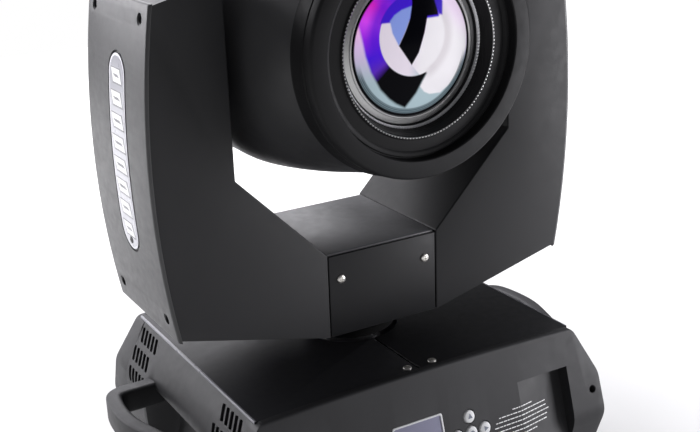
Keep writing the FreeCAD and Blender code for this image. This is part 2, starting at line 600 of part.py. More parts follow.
tilt_span = size("tilt_level") - size("tilt_motor_level")
tilt_belt = solid_feature("tilt_belt", belt_shape(size("tilt_pulley_radius"), size("motor_pulley_radius"),
                                                  tilt_span, belt_width, size("belt_gap"),
                                                  size("belt_thickness")))
tilt_belt.Placement = FreeCAD.Placement(
    FreeCAD.Vector(-size("tilt_belt_near") - 1, 0, size("tilt_level")),
    FreeCAD.Rotation(FreeCAD.Vector(0, 0, -1), FreeCAD.Vector(0, 1, 0), FreeCAD.Vector(-1, 0, 0), "ZXY"))
keep("tilt_belt", tilt_belt)
keep("tilt_motor", box("tilt_motor",
                       ("-tilt_belt_far - tilt_standoff - tilt_motor_length",
                        "-tilt_belt_far - tilt_standoff"),
                       ("-motor_side / 2", "motor_side / 2"),
                       ("tilt_motor_level - motor_side / 2", "tilt_motor_level + motor_side / 2")))
tilt_pinion = rod("tilt_pinion", "motor_pulley_radius", "x", ("-tilt_belt_far", "-tilt_belt_near"),
                  ("0", "tilt_motor_level"))
tilt_stub = rod("tilt_stub", "motor_shaft_radius", "x", ("-tilt_belt_far - tilt_standoff", "-tilt_belt_far"),
                ("0", "tilt_motor_level"))
keep("tilt_motor_pulley", fuse("tilt_motor_pulley", tilt_pinion, tilt_stub))

# ---------------------------------------------------------------- tilt joint
SIDES = {"left": -1, "right": 1}


def side_span(side, near, far):
    """Two distances from the middle as a span along X on that side."""
    return (near, far) if side > 0 else ("-(%s)" % far, "-(%s)" % near)


keep("tilt_bearings", group("tilt_bearings", *[
    tube("tilt_bearing_" + name, "tilt_bearing_radius", "tilt_radius + running_gap", "x",
         side_span(side, "arm_inner", "arm_inner + tilt_bearing_width"), ("0", "tilt_level"))
    for name, side in SIDES.items()]))
keep("tilt_shafts", group("tilt_shafts", *[
    rod("tilt_shaft_" + name, "tilt_radius", "x",
        side_span(side, "chassis_half_width", "tilt_shaft_end"), ("0", "tilt_level"))
    for name, side in SIDES.items()]))
keep("tilt_pulley", tube("tilt_pulley", "tilt_pulley_radius", "tilt_radius", "x",
                         side_span(-1, "tilt_belt_near", "tilt_belt_far"), ("0", "tilt_level")))


# ---------------------------------------------------------------- head: shells
def head_section(y, half_width, half_height, squareness, inset=0.0):
    """A closed rounded section of the head at a place along it."""
    points = []
    for step in range(32):
        angle = 2 * math.pi * step / 32
        cosine, sine = math.cos(angle), math.sin(angle)
        across = math.copysign(abs(cosine) ** (2 / squareness), cosine) * (half_width - inset)
        rise = math.copysign(abs(sine) ** (2 / squareness), sine) * (half_height - inset)
        points.append(FreeCAD.Vector(across, y, rise + size("tilt_level")))
    curve = Part.BSplineCurve()
    curve.interpolate(points, PeriodicFlag=True)
    return Part.Wire(curve.toShape())


def head_loft(sections, inset=0.0):
    wires = [head_section(*section, inset=inset) for section in sections]
    return Part.makeLoft(wires, True, False)


WIDE, TALL = size("shell_half_width"), size("shell_half_height")
FRONT, SPLIT, REAR = size("shell_front"), size("shell_split"), size("shell_rear")
front_sections = [(-FRONT, 103.5, 103.5, 2.0), (-85, 115, 110, 2.2), (-50, 125, 115, 2.6),
                  (-10, WIDE, TALL, 3.0), (SPLIT - 0.2, WIDE, TALL, 3.0)]
front_core = [(-FRONT - 1, 103.5, 103.5, 2.0)] + front_sections[1:-1] + [(SPLIT + 1, WIDE, TALL, 3.0)]
rear_sections = [(SPLIT, WIDE, TALL, 3.0), (80, 118, 108, 3.0), (122, 97, 90, 3.0), (REAR, 82, 74, 3.0)]
rear_core = [(SPLIT - 1, WIDE, TALL, 3.0), (80, 118, 108, 3.0), (122, 97, 90, 3.0),
             (REAR - size("wall"), 84, 76, 3.0)]
wall = size("wall")
shaft_holes = rod("shaft_holes", "tilt_radius + 3", "x", ("-arm_inner", "arm_inner"), ("0", "tilt_level"))
for name, outside, inside in (("head_front_shell", front_sections, front_core),
                              ("head_rear_shell", rear_sections, rear_core)):
    shell = solid_feature(name + "_shell", head_loft(outside).cut(head_loft(inside, wall)))
    keep(name, cut(name, shell, shaft_holes))

keep("lens_bezel", turned("lens_bezel", [
    ("bezel_face_radius", "-bezel_front"), ("bezel_radius - 2", "-bezel_front"),
    ("bezel_radius", "-bezel_front + 2"), ("bezel_back_radius", "-bezel_back"),
    ("bezel_radius + 1.4", "-bezel_back"), ("bezel_radius + 0.8", "-shell_front - 0.2"),
    ("bezel_radius - 4", "-shell_front - 0.2"), ("bezel_radius - 4", "-shell_front - 2"),
    ("bezel_throat_radius + 2", "-shell_front - 2"), ("bezel_throat_radius + 2", "-bezel_back + 4"),
    ("bezel_throat_radius", "-bezel_back + 4"), ("bezel_throat_radius", "-bezel_throat - 3"),
    ("bezel_cone_radius", "-bezel_step"), ("bezel_face_radius", "-bezel_step")]))
keep("lens_retaining_ring", turned("lens_retaining_ring", [
    ("lens_radius + 0.2", "-lens_edge"), ("bezel_throat_radius", "-bezel_throat"),
    ("bezel_throat_radius", "-bezel_back + 4"), ("lens_radius + 0.2", "-bezel_back + 4")]))


def lens_shape():
    """The front lens: a plano-convex disc with its dome towards the beam."""
    radius, dome = size("lens_radius"), size("lens_front")
    edge, back = size("lens_edge"), size("lens_back")
    curvature = (radius ** 2 + (dome - edge) ** 2) / (2 * (dome - edge))
    depth = math.sqrt(curvature ** 2 - radius ** 2 / 4)
    middle = FreeCAD.Vector(radius / 2, curvature - dome - depth, 0)
    edges = [Part.Arc(FreeCAD.Vector(0, -dome, 0), middle, FreeCAD.Vector(radius, -edge, 0)).toShape(),
             Part.makeLine(FreeCAD.Vector(radius, -edge, 0), FreeCAD.Vector(radius, -back, 0)),
             Part.makeLine(FreeCAD.Vector(radius, -back, 0), FreeCAD.Vector(0, -back, 0)),
             Part.makeLine(FreeCAD.Vector(0, -back, 0), FreeCAD.Vector(0, -dome, 0))]
    return Part.Face(Part.Wire(edges)).revolve(FreeCAD.Vector(), FreeCAD.Vector(0, 1, 0), 360)


keep("front_lens", place(solid_feature("front_lens", lens_shape()), z="tilt_level"))

# ---------------------------------------------------------------- head: chassis
CHASSIS_Z = ("tilt_level - chassis_half_height", "tilt_level + chassis_half_height")
side_plates = [box("chassis_side_" + name,
                   side_span(side, "chassis_half_width - wall", "chassis_half_width"),
                   ("-chassis_front", "chassis_rear"), CHASSIS_Z) for name, side in SIDES.items()]
cross_plates = [box("chassis_cross_%d" % number, ("-chassis_half_width", "chassis_half_width"),
                    (at, "(%s) + wall" % at), CHASSIS_Z)
                for number, at in enumerate(("-chassis_front", "effect_motor_length + 12", "chassis_rear"))]
light_path = rod("light_path", "chassis_half_height - 4", "y", ("-chassis_front - 1", "chassis_rear + 4"),
                 ("0", "tilt_level"))
rods = [rod("focus_rod_%d" % side, "rod_radius", "y", ("-chassis_front + wall", "effect_motor_length + 12"),
            ("%d * rod_x" % side, "tilt_level - rod_z")) for side in (-1, 1)]
chassis_plates = cut("chassis_plates", fuse("chassis_solid", *side_plates, *cross_plates), light_path)
keep("optics_chassis", fuse("optics_chassis", chassis_plates, *rods))

# ---------------------------------------------------------------- head: effects
def filter_wheel(name, side, front):
    """A wheel with a ring of holes, turning beside the optical axis."""
    body = doc.addObject("PartDesign::Body", name)
    disc = body.newObject("Sketcher::SketchObject", name + "_disc")
    disc.AttachmentSupport = [(plane_of(body, "XZ_Plane"), "")]
    disc.MapMode = "FlatFace"
    disc.addGeometry(Part.Circle(FreeCAD.Vector(), FreeCAD.Vector(0, 0, 1), size("wheel_radius")))
    disc.addConstraint(Sketcher.Constraint("Coincident", 0, 3, -1, 1))
    index = disc.addConstraint(Sketcher.Constraint("Radius", 0, size("wheel_radius")))
    disc.renameConstraint(index, "edge")
    disc.setExpression("Constraints.edge", bound("wheel_radius"))
    pad = body.newObject("PartDesign::Pad", name + "_pad")
    pad.Profile = disc
    pad.setExpression("Length", bound("wheel_thickness"))
    body.Tip = pad
    doc.recompute()
    before = body.Shape.Volume
    hole = body.newObject("Sketcher::SketchObject", name + "_hole")
    hole.AttachmentSupport = [(plane_of(body, "XZ_Plane"), "")]
    hole.MapMode = "FlatFace"
    hole.addGeometry(Part.Circle(FreeCAD.Vector(size("wheel_offset"), 0, 0), FreeCAD.Vector(0, 0, 1),
                                 size("wheel_hole_radius")))
    index = hole.addConstraint(Sketcher.Constraint("DistanceX", -1, 1, 0, 3, size("wheel_offset")))
    hole.renameConstraint(index, "reach")
    hole.setExpression("Constraints.reach", bound("wheel_offset"))
    hole.addConstraint(Sketcher.Constraint("PointOnObject", 0, 3, -1))
    index = hole.addConstraint(Sketcher.Constraint("Radius", 0, size("wheel_hole_radius")))
    hole.renameConstraint(index, "aperture")
    hole.setExpression("Constraints.aperture", bound("wheel_hole_radius"))
    pocket = body.newObject("PartDesign::Pocket", name + "_pocket")
    pocket.Profile = hole
    pocket.Type = "ThroughAll"
    pocket.Midplane = True
    body.Tip = pocket
    pattern = body.newObject("PartDesign::PolarPattern", name + "_ring")
    pattern.Originals = [pocket]
    pattern.Axis = (disc, ["N_Axis"])
    pattern.Angle = 360.0
    pattern.setExpression("Occurrences", bound("wheel_holes"))
    body.Tip = pattern
    doc.recompute()
    hole_volume = math.pi * size("wheel_hole_radius") ** 2 * size("wheel_thickness")
    removed = (before - body.Shape.Volume) / hole_volume
    assert abs(removed - size("wheel_holes")) < 0.01, "wheel holes cut %.2f" % removed
    return place(body, x="%d * wheel_offset" % side, y=front, z="tilt_level")


keep("color_wheel", filter_wheel("color_wheel", 1, "color_wheel_y"))
keep("gobo_wheel", filter_wheel("gobo_wheel", -1, "gobo_wheel_y"))
effect_motors = [rod("effect_motor_%d" % side, "effect_motor_radius", "y",
                     ("effect_motor_y", "effect_motor_y + effect_motor_length"),
                     ("%d * wheel_offset" % side, "tilt_level"))
                 for side in (-1, 1)]
pivot = ("prism_pivot_x", "tilt_level + prism_pivot_z")
effect_motors.append(rod("prism_motor", "prism_motor_radius", "y", ("prism_back", "prism_motor_rear"),
                         pivot))
keep("effect_motors", group("effect_motors", *effect_motors))

carriage_plate = box("carriage_plate", ("-rod_x - carriage_margin", "rod_x + carriage_margin"),
                     ("carriage_y", "carriage_y + carriage_thickness"),
                     ("tilt_level - carriage_half_height", "tilt_level + carriage_half_height"))
carriage_holes = [rod("carriage_hole_%d" % side, "rod_radius + running_gap", "y",
                      ("carriage_y - 1", "carriage_y + carriage_thickness + 1"),
                      ("%d * rod_x" % side, "tilt_level - rod_z")) for side in (-1, 1)]
carriage_window = rod("carriage_window", "carriage_window", "y",
                      ("carriage_y - 1", "carriage_y + carriage_thickness - carriage_lip"),
                      ("0", "tilt_level"))
keep("focus_carriage", cut("focus_carriage", carriage_plate, *carriage_holes, carriage_window))

# The prism's link reaches from its pivot to the edge of the glass on the optical axis.
towards = math.degrees(math.atan2(-size("prism_pivot_z"), -size("prism_pivot_x")))
reach = math.hypot(size("prism_pivot_x"), size("prism_pivot_z")) - size("prism_radius")
prism_link = doc.addObject("Part::Box", "prism_link")
prism_link.Length = reach
prism_link.setExpression("Width", bound("prism_link_thickness"))
prism_link.setExpression("Height", bound("prism_link_width"))
at_pivot = FreeCAD.Placement(
    FreeCAD.Vector(size("prism_pivot_x"), size("prism_link_y"), size("tilt_level") + size("prism_pivot_z")),
    FreeCAD.Rotation(FreeCAD.Vector(0, 1, 0), -towards))
centred = FreeCAD.Placement(FreeCAD.Vector(0, 0, -size("prism_link_width") / 2), FreeCAD.Rotation())
prism_link.Placement = at_pivot * centred
prism_hub = rod("prism_hub", "prism_hub_radius", "y", ("prism_link_y", "prism_hub_back"), pivot)
prism_glass = rod("prism_glass", "prism_radius", "y", ("prism_front", "prism_back"), ("0", "tilt_level"))
keep("prism_arm", fuse("prism_arm", prism_link, prism_hub, prism_glass))

# ---------------------------------------------------------------- head: lamp and fan
keep("lamp_reflector", turned("lamp_reflector", [
    ("reflector_radius", "reflector_front"), ("reflector_radius - reflector_wall", "reflector_front"),
    ("reflector_radius / 2 - reflector_wall", "reflector_back - reflector_knee - reflector_wall"),
    ("reflector_bore", "reflector_back - reflector_wall - 1"), ("reflector_bore", "reflector_back"),
    ("reflector_radius / 2", "reflector_back - reflector_knee")]))
bulb = doc.addObject("Part::Ellipsoid", "bulb")
bulb.setExpression("Radius1", bound("bulb_length"))
bulb.setExpression("Radius2", bound("bulb_radius"))
bulb.Placement.Rotation = TURN_TO["y"]
place(bulb, y="bulb_y", z="tilt_level")
lamp_stem = rod("lamp_stem", "lamp_stem_radius", "y", ("bulb_y", "chassis_rear - 1"), ("0", "tilt_level"))
lamp_base = rod("lamp_base", "lamp_base_radius", "y", ("chassis_rear - lamp_base_thickness", "chassis_rear"),
                ("0", "tilt_level"))
keep("lamp", fuse("lamp", bulb, lamp_stem, lamp_base))
fan_box = box("fan_box", ("-fan_side / 2", "fan_side / 2"), ("fan_near", "fan_far"),
              ("tilt_level - fan_side / 2", "tilt_level + fan_side / 2"))
fan_duct = rod("fan_duct", "fan_radius + 1", "y", ("fan_near + 3", "fan_far + 1"), ("0", "tilt_level"))
keep("head_fan_frame", cut("head_fan_frame", fan_box, fan_duct))
fan_parts = [rod("fan_hub", "fan_hub_radius", "y", ("fan_near + 4", "fan_far - 1"), ("0", "tilt_level"))]
hub_face = FreeCAD.Vector(0, size("fan_near") + size("blade_inset"), size("tilt_level"))
pitch = FreeCAD.Rotation(FreeCAD.Vector(1, 0, 0), size("blade_pitch"))
root = FreeCAD.Placement(FreeCAD.Vector(size("blade_root"), 0, 0), pitch)
for number in range(int(size("blades"))):
    blade = doc.addObject("Part::Box", "fan_blade_%d" % number)
    blade.setExpression("Length", bound("blade_tip - blade_root"))
    blade.setExpression("Width", bound("blade_width"))
    blade.setExpression("Height", bound("blade_thickness"))
    spin = FreeCAD.Rotation(FreeCAD.Vector(0, 1, 0), 360.0 * (number + 0.3) / size("blades"))
    blade.Placement = FreeCAD.Placement(hub_face, spin) * root
    fan_parts.append(blade)
keep("head_fan_rotor", fuse("head_fan_rotor", *fan_parts))

# ---------------------------------------------------------------- check and write
doc.recompute()
for item in doc.Objects:
    if "Invalid" in item.State or "Error" in item.State:
        raise RuntimeError("%s failed: %s" % (item.Name, item.State))
os.makedirs("parts", exist_ok=True)
for name, item in nodes.items():
    if item.Shape.isNull() or not item.Shape.isValid():
        raise RuntimeError(name + " has no valid shape")
    if not item.Shape.Solids:
        raise RuntimeError(name + " has no solid")
for name, item in nodes.items():
    item.Shape.exportStep("parts/%s.step" % name)
print(len(nodes), "sub-parts written")
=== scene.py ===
# The looks of the moving head light, built round its CAD frame. Lengths are in millimetres here and
# become metres where a mesh is made.
import json
import math
import bmesh
import bpy
import numpy as np
from mathutils import Matrix, Vector


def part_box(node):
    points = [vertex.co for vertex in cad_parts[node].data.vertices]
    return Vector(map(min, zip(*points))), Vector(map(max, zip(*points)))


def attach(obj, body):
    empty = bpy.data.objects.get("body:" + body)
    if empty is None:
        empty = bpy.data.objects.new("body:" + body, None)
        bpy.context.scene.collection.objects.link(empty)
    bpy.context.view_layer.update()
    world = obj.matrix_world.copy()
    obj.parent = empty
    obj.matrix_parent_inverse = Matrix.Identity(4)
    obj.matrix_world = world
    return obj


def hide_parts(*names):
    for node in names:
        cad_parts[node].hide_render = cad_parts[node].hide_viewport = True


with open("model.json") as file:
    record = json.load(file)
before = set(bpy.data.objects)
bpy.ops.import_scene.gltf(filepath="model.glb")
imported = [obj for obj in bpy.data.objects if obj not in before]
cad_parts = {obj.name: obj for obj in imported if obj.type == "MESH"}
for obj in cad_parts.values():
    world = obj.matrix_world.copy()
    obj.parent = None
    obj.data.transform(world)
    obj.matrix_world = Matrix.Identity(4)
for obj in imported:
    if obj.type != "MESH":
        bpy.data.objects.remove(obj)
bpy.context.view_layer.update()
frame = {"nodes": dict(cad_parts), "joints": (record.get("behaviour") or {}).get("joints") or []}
MM = 0.001
scene = bpy.context.scene

# Camera: where it stands, what it looks at and its lens, in metres, degrees and millimetres.
CAMERA_AZIMUTH, CAMERA_ELEVATION, CAMERA_ROLL = -29.97, 19.08, -2.05
CAMERA_DISTANCE, CAMERA_TARGET, CAMERA_LENS = 1.07033, (0.00609, 0.0, 0.2553), 58.856


def span(node):
    """Lowest and highest corner of a CAD node, in millimetres."""
    low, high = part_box(node)
    return Vector(low) / MM, Vector(high) / MM


# ---------------------------------------------------------------- places read from the frame
TILT = next(joint for joint in frame["joints"] if joint["name"] == "tilt")["pos_m"][2] / MM
cross_low, cross_high = span("yoke_crossbar")
arm_high = span("right_arm_frame")[1]
YOKE_HALF_DEPTH = arm_high.y
CROSS_HALF_WIDTH, CROSS_LOW, CROSS_TOP = cross_high.x, span("yoke_front_panel")[0].z, cross_high.z
ARM_INNER, SLOPE_TOP, ARM_TOP_INNER = 138.0, 333.0, arm_high.z
ARM_CORNER_Z, ARM_TOP_OUTER = 205.8, 481.0
BULGE_X, BULGE_RADIUS, BULGE_Z = span("right_arm_cover")[1].x, 774.0, 343.9
top_high = span("base_top_cover_right")[1]
BASE_TOP, BASE_HALF_WIDTH, COVER_HALF_DEPTH = top_high.z, top_high.x, top_high.y
bezel_low, bezel_high = span("base_front_bezel")
KINK_HALF_DEPTH, BEZEL_HALF_DEPTH, BASE_FOOT = -bezel_low.y, -bezel_high.y, bezel_low.z
KINK_HALF_WIDTH, KINK_Z, SHOULDER_HALF_WIDTH, SHOULDER_Z = bezel_high.x, 67.0, 186.0, 104.0
BASE_HALF_DEPTH, FOOT_HALF_WIDTH, FOOT_HALF_DEPTH = 132.0, 179.0, 144.0


# ---------------------------------------------------------------- materials
def node_material(name, metallic=0.0, roughness=0.5, specular=0.5, coat=0.0, coat_roughness=0.1):
    material = bpy.data.materials.new(name)
    material.use_nodes = True
    shader = material.node_tree.nodes["Principled BSDF"]
    shader.inputs["Metallic"].default_value = metallic
    shader.inputs["Roughness"].default_value = roughness
    shader.inputs["Specular IOR Level"].default_value = specular
    shader.inputs["Coat Weight"].default_value = coat
    shader.inputs["Coat Roughness"].default_value = coat_roughness
    return material, material.node_tree, shader


def add(tree, kind, inputs=(), **settings):
    node = tree.nodes.new(kind)
    for key, value in settings.items():
        setattr(node, key, value)
    for key, value in dict(inputs).items():
        node.inputs[key].default_value = value
    return node


def noise(tree, scale, detail=3.0, stretch=(1, 1, 1)):
    """Noise over the object's own coordinates; scale is in features per metre."""
    place = add(tree, "ShaderNodeTexCoord")
    mapping = add(tree, "ShaderNodeMapping", {"Scale": stretch})
    tree.links.new(place.outputs["Object"], mapping.inputs["Vector"])
    texture = add(tree, "ShaderNodeTexNoise", {"Scale": scale, "Detail": detail})
    tree.links.new(mapping.outputs["Vector"], texture.inputs["Vector"])
    return texture.outputs["Fac"]


def ramp(tree, source, stops):
    node = add(tree, "ShaderNodeValToRGB")
    tree.links.new(source, node.inputs["Fac"])
    elements = node.color_ramp.elements
    while len(elements) < len(stops):
        elements.new(0.5)
    for element, (position, colour) in zip(elements, stops):
        element.position = position
        element.color = (*colour, 1.0)
    return node.outputs["Color"]


def bump(tree, source, shader, strength, height):
    node = add(tree, "ShaderNodeBump", {"Strength": strength, "Distance": height * MM})
    tree.links.new(source, node.inputs["Height"])
    tree.links.new(node.outputs["Normal"], shader.inputs["Normal"])


CLOUDS, STREAKS = 9.0, 500.0


def grained(name, colour, roughness, grain=900.0, depth=0.05, vary=0.25, **more):
    """Paint or moulding: a fine grain in the surface, cloudy colour and roughness, paler worn edges."""
    material, tree, shader = node_material(name, roughness=roughness, **more)
    cloudy = noise(tree, CLOUDS, 5.0)
    dark = [c * (1 - vary) for c in colour]
    light = [c * (1 + vary) for c in colour]
    base = ramp(tree, cloudy, [(0.3, dark), (0.7, light)])
    edges = add(tree, "ShaderNodeNewGeometry")
    worn = ramp(tree, edges.outputs["Pointiness"], [(0.52, (0, 0, 0)), (0.62, (1, 1, 1))])
    mix = add(tree, "ShaderNodeMix", data_type="RGBA")
    tree.links.new(worn, mix.inputs["Factor"])
    tree.links.new(base, mix.inputs[6])
    mix.inputs[7].default_value = (*[min(1.0, c * 1.8 + 0.01) for c in colour], 1.0)
    tree.links.new(mix.outputs[2], shader.inputs["Base Color"])
    fine = noise(tree, grain, 2.0)
    uneven = ramp(tree, noise(tree, CLOUDS * 14, 4.0),
                  [(0.25, (roughness - 0.05,) * 3), (0.75, (roughness + 0.06,) * 3)])
    tree.links.new(uneven, shader.inputs["Roughness"])
    bump(tree, fine, shader, 0.55, depth)
    return material


def metal(name, colour, roughness, brushed=(1, 1, 1), depth=0.02):
    material, tree, shader = node_material(name, metallic=1.0, roughness=roughness)
    streaks = noise(tree, STREAKS, 4.0, brushed)
    tint = ramp(tree, streaks, [(0.3, [c * 0.88 for c in colour]), (0.7, colour)])
    tree.links.new(tint, shader.inputs["Base Color"])
    polish = ramp(tree, streaks, [(0.3, (roughness,) * 3), (0.8, (roughness + 0.14,) * 3)])
    tree.links.new(polish, shader.inputs["Roughness"])
    bump(tree, streaks, shader, 0.3, depth)
    return material


def painted_by_vertex(name, layer, roughness, coat, brightness=0.0, specular=0.3):
    """A surface whose colour was worked out for each vertex, under a clear coat; its emission is painted
    light, which makes those colours shine of themselves."""
    material, tree, shader = node_material(name, roughness=roughness, specular=specular, coat=coat,
                                           coat_roughness=0.03)
    shader.inputs["Emission Strength"].default_value = brightness
    colour = add(tree, "ShaderNodeVertexColor", layer_name=layer)
    shimmer = noise(tree, 60.0, 2.0)
    mix = add(tree, "ShaderNodeMix", data_type="RGBA", blend_type="MULTIPLY")
    mix.inputs["Factor"].default_value = 0.12
    tree.links.new(colour.outputs["Color"], mix.inputs[6])
    tree.links.new(ramp(tree, shimmer, [(0.3, (0.8, 0.8, 0.8)), (0.7, (1, 1, 1))]), mix.inputs[7])
    tree.links.new(mix.outputs[2], shader.inputs["Base Color"])
    if brightness:
        tree.links.new(mix.outputs[2], shader.inputs["Emission Color"])
    return material


POWDER = grained("powder_black", (0.0085, 0.0085, 0.0095), 0.44, grain=1100, depth=0.06, specular=0.2)
# A lighter copy of the black powder coat for the arms' outer covers: painted light where the side light
# falls.
POWDER_LIT_SIDE = grained("powder_black_painted_lit_side", (0.030, 0.030, 0.032), 0.40, grain=1100, depth=0.05)
# A pale grey for the covers' rolled edges: a painted highlight where the edge catches the side light.
EDGE_HIGHLIGHT = grained("rolled_edge_painted_highlight", (0.13, 0.13, 0.145), 0.3, grain=1100, depth=0.02)
# A much lighter copy of the black powder coat for the crossbar: painted light on its top.
POWDER_LIT_CROSS = grained("powder_black_painted_lit_cross", (0.085, 0.085, 0.09), 0.40, grain=1100, depth=0.05)
POWDER_TOP = grained("powder_black_top", (0.008, 0.008, 0.0095), 0.38, grain=1100, depth=0.06, specular=0.2)
MOULDED = grained("moulded_black", (0.021, 0.021, 0.023), 0.50, grain=1500, depth=0.05, specular=0.34)
SHELL = grained("shell_black", (0.032, 0.032, 0.034), 0.42, grain=1800, depth=0.03, specular=0.4)
BEZEL = grained("bezel_black", (0.009, 0.009, 0.0098), 0.5, grain=1500, depth=0.04, specular=0.12)
GLOSS = grained("gloss_black", (0.010, 0.010, 0.011), 0.25, grain=700, depth=0.01)
RUBBER = grained("rubber_black", (0.016, 0.016, 0.016), 0.75, grain=600, depth=0.12)
# A near-black for hollows, holes, slot walls, sunken screws and the neck: painted shade where the shade
# falls.
PAINTED_SHADE = grained("painted_shade_black", (0.003, 0.003, 0.003), 0.8, grain=800, depth=0.05, specular=0.1)
BUTTON = grained("button_grey", (0.70, 0.71, 0.72), 0.42, grain=1200, depth=0.02, vary=0.05)
PRINT = grained("print_white", (0.66, 0.67, 0.68), 0.55, grain=900, depth=0.01, vary=0.06)
SLATE = grained("print_slate", (0.10, 0.11, 0.14), 0.5, grain=900, depth=0.01, vary=0.1)
MARK = grained("print_grey", (0.16, 0.16, 0.17), 0.5, grain=900, depth=0.01, vary=0.1)
BADGE = grained("badge_lacquer", (0.30, 0.30, 0.33), 0.3, grain=500, depth=0.01, vary=0.1, coat=0.5)
BOARD = grained("board_green", (0.03, 0.12, 0.05), 0.45, grain=700, depth=0.05)
STEEL = metal("steel", (0.56, 0.56, 0.58), 0.30, brushed=(1, 8, 1))
NICKEL = metal("nickel", (0.78, 0.76, 0.72), 0.34)
ALUMINIUM = metal("aluminium", (0.62, 0.63, 0.65), 0.34, brushed=(8, 1, 1))
SILVER = metal("badge_silver", (0.62, 0.62, 0.65), 0.36, brushed=(1, 1, 10), depth=0.01)
RING = metal("ring_metal", (0.46, 0.46, 0.46), 0.32, brushed=(1, 6, 1))
# The lens's colours are its tint with painted reflections of the softboxes, and its emission is painted
# light.
LENS = painted_by_vertex("lens_coating_and_reflections", "coating_and_reflections", 0.15, 0.0, brightness=0.3, specular=0.03)
SCREEN = painted_by_vertex("screen_glass", "screen", 0.2, 0.8)
SMOKED = grained("filter_glass", (0.16, 0.08, 0.30), 0.1, grain=200, depth=0.002, coat=1.0)


# ---------------------------------------------------------------- mesh tools
def settle(item):
    """Applies the piece's modifiers to its mesh."""
    graph = bpy.context.evaluated_depsgraph_get()
    mesh = bpy.data.meshes.new_from_object(item.evaluated_get(graph), depsgraph=graph)
    item.modifiers.clear()
    old, item.data = item.data, mesh
    mesh.name = item.name
    bpy.data.meshes.remove(old)
    return item


def solid(name, vertices, faces, material=None, edge=0.0, sharp=32.0):
    """A piece from vertices in millimetres, with its edges rounded by edge."""
    mesh = bpy.data.meshes.new(name)
    mesh.from_pydata([Vector(v) * MM for v in vertices], [], faces)
    worker = bmesh.new()
    worker.from_mesh(mesh)
    bmesh.ops.remove_doubles(worker, verts=worker.verts, dist=1e-6)
    bmesh.ops.recalc_face_normals(worker, faces=worker.faces)
    worker.to_mesh(mesh)
    worker.free()
    item = bpy.data.objects.new(name, mesh)
    scene.collection.objects.link(item)
    if material is not None:
        mesh.materials.append(material)
    if edge:
        round_edges(item, edge)
    soften(item, sharp)
    return item


def round_edges(item, edge, angle=28.0):
    bevel = item.modifiers.new("rounding", "BEVEL")
    bevel.width = edge * MM
    bevel.segments = 3
    bevel.limit_method = "ANGLE"
    bevel.angle_limit = math.radians(angle)
    bevel.harden_normals = False
    settle(item)
    return item


def round_where(item, edge, chosen):
    """Rounds the edges whose two ends both pass chosen, given in millimetres."""
    worker = bmesh.new()
    worker.from_mesh(item.data)
    picked = [e for e in worker.edges if len(e.link_faces) == 2 and e.calc_face_angle() > 0.5
              and all(chosen(v.co / MM) for v in e.verts)]
    bmesh.ops.bevel(worker, geom=picked, offset=edge * MM, segments=3, profile=0.5, affect="EDGES")
    worker.to_mesh(item.data)
    worker.free()
    return soften(item)


def soften(item, sharp=32.0):
    item.data.shade_smooth()
    item.data.set_sharp_from_angle(angle=math.radians(sharp))
    return item


def carve(item, *cutters, how="DIFFERENCE"):
    for cutter in cutters:
        boolean = item.modifiers.new("carve", "BOOLEAN")
        boolean.operation = how
        boolean.solver = "EXACT"
        boolean.object = cutter
        settle(item)
        bpy.data.objects.remove(cutter)
    return soften(item)


def at_axis(axis, a, b, along):
    """A point from two coordinates in a section and one along its axis."""
    return {"x": (along, a, b), "y": (a, along, b), "z": (a, b, along)}[axis]


def slab(name, outline, axis, low, high, material=None, edge=0.0):
    """An outline pushed along an axis: x takes (y, z), y takes (x, z), z takes (x, y)."""
    count = len(outline)
    vertices = [at_axis(axis, a, b, along) for along in (low, high) for a, b in outline]
    faces = [tuple(range(count)), tuple(range(2 * count - 1, count - 1, -1))]
    for number in range(count):
        following = (number + 1) % count
        faces.append((number, following, following + count, number + count))
    return solid(name, vertices, faces, material, edge)


def block(name, low, high, material=None, edge=0.0):
    outline = [(low[0], low[2]), (high[0], low[2]), (high[0], high[2]), (low[0], high[2])]
    return slab(name, outline, "y", low[1], high[1], material, edge)


def woven(rows, count, ring=False, wrap=False):
    """The faces between rows of count points; ring closes each row, wrap joins last row to first."""
    faces = []
    for row in range(rows if wrap else rows - 1):
        following = (row + 1) % rows
        for number in range(count if ring else count - 1):
            after = (number + 1) % count
            faces.append((row * count + number, row * count + after,
                          following * count + after, following * count + number))
    return faces


def turned(name, profile, centre, axis="y", material=None, steps=96, closed=True, sharp=32.0):
    """A profile of (radius, along) turned about an axis through centre."""
    vertices = []
    for step in range(steps):
        angle = 2 * math.pi * step / steps
        for radius, along in profile:
            a, b = radius * math.cos(angle), radius * math.sin(angle)
            vertices.append(Vector(centre) + Vector(at_axis(axis, a, b, along)))
    return solid(name, vertices, woven(steps, len(profile), closed, True), material, sharp=sharp)


def knob(name, profile, material, steps):
    """A profile turned about the z axis at the origin, its two ends on that axis."""
    return turned(name, profile, (0, 0, 0), "z", material, steps=steps, closed=False)


def disc_cutter(name, centre, radius, axis, low, high, steps=40):
    outline = [(centre[0] + radius * math.cos(2 * math.pi * n / steps),
                centre[1] + radius * math.sin(2 * math.pi * n / steps)) for n in range(steps)]
    return slab(name, outline, axis, low, high)


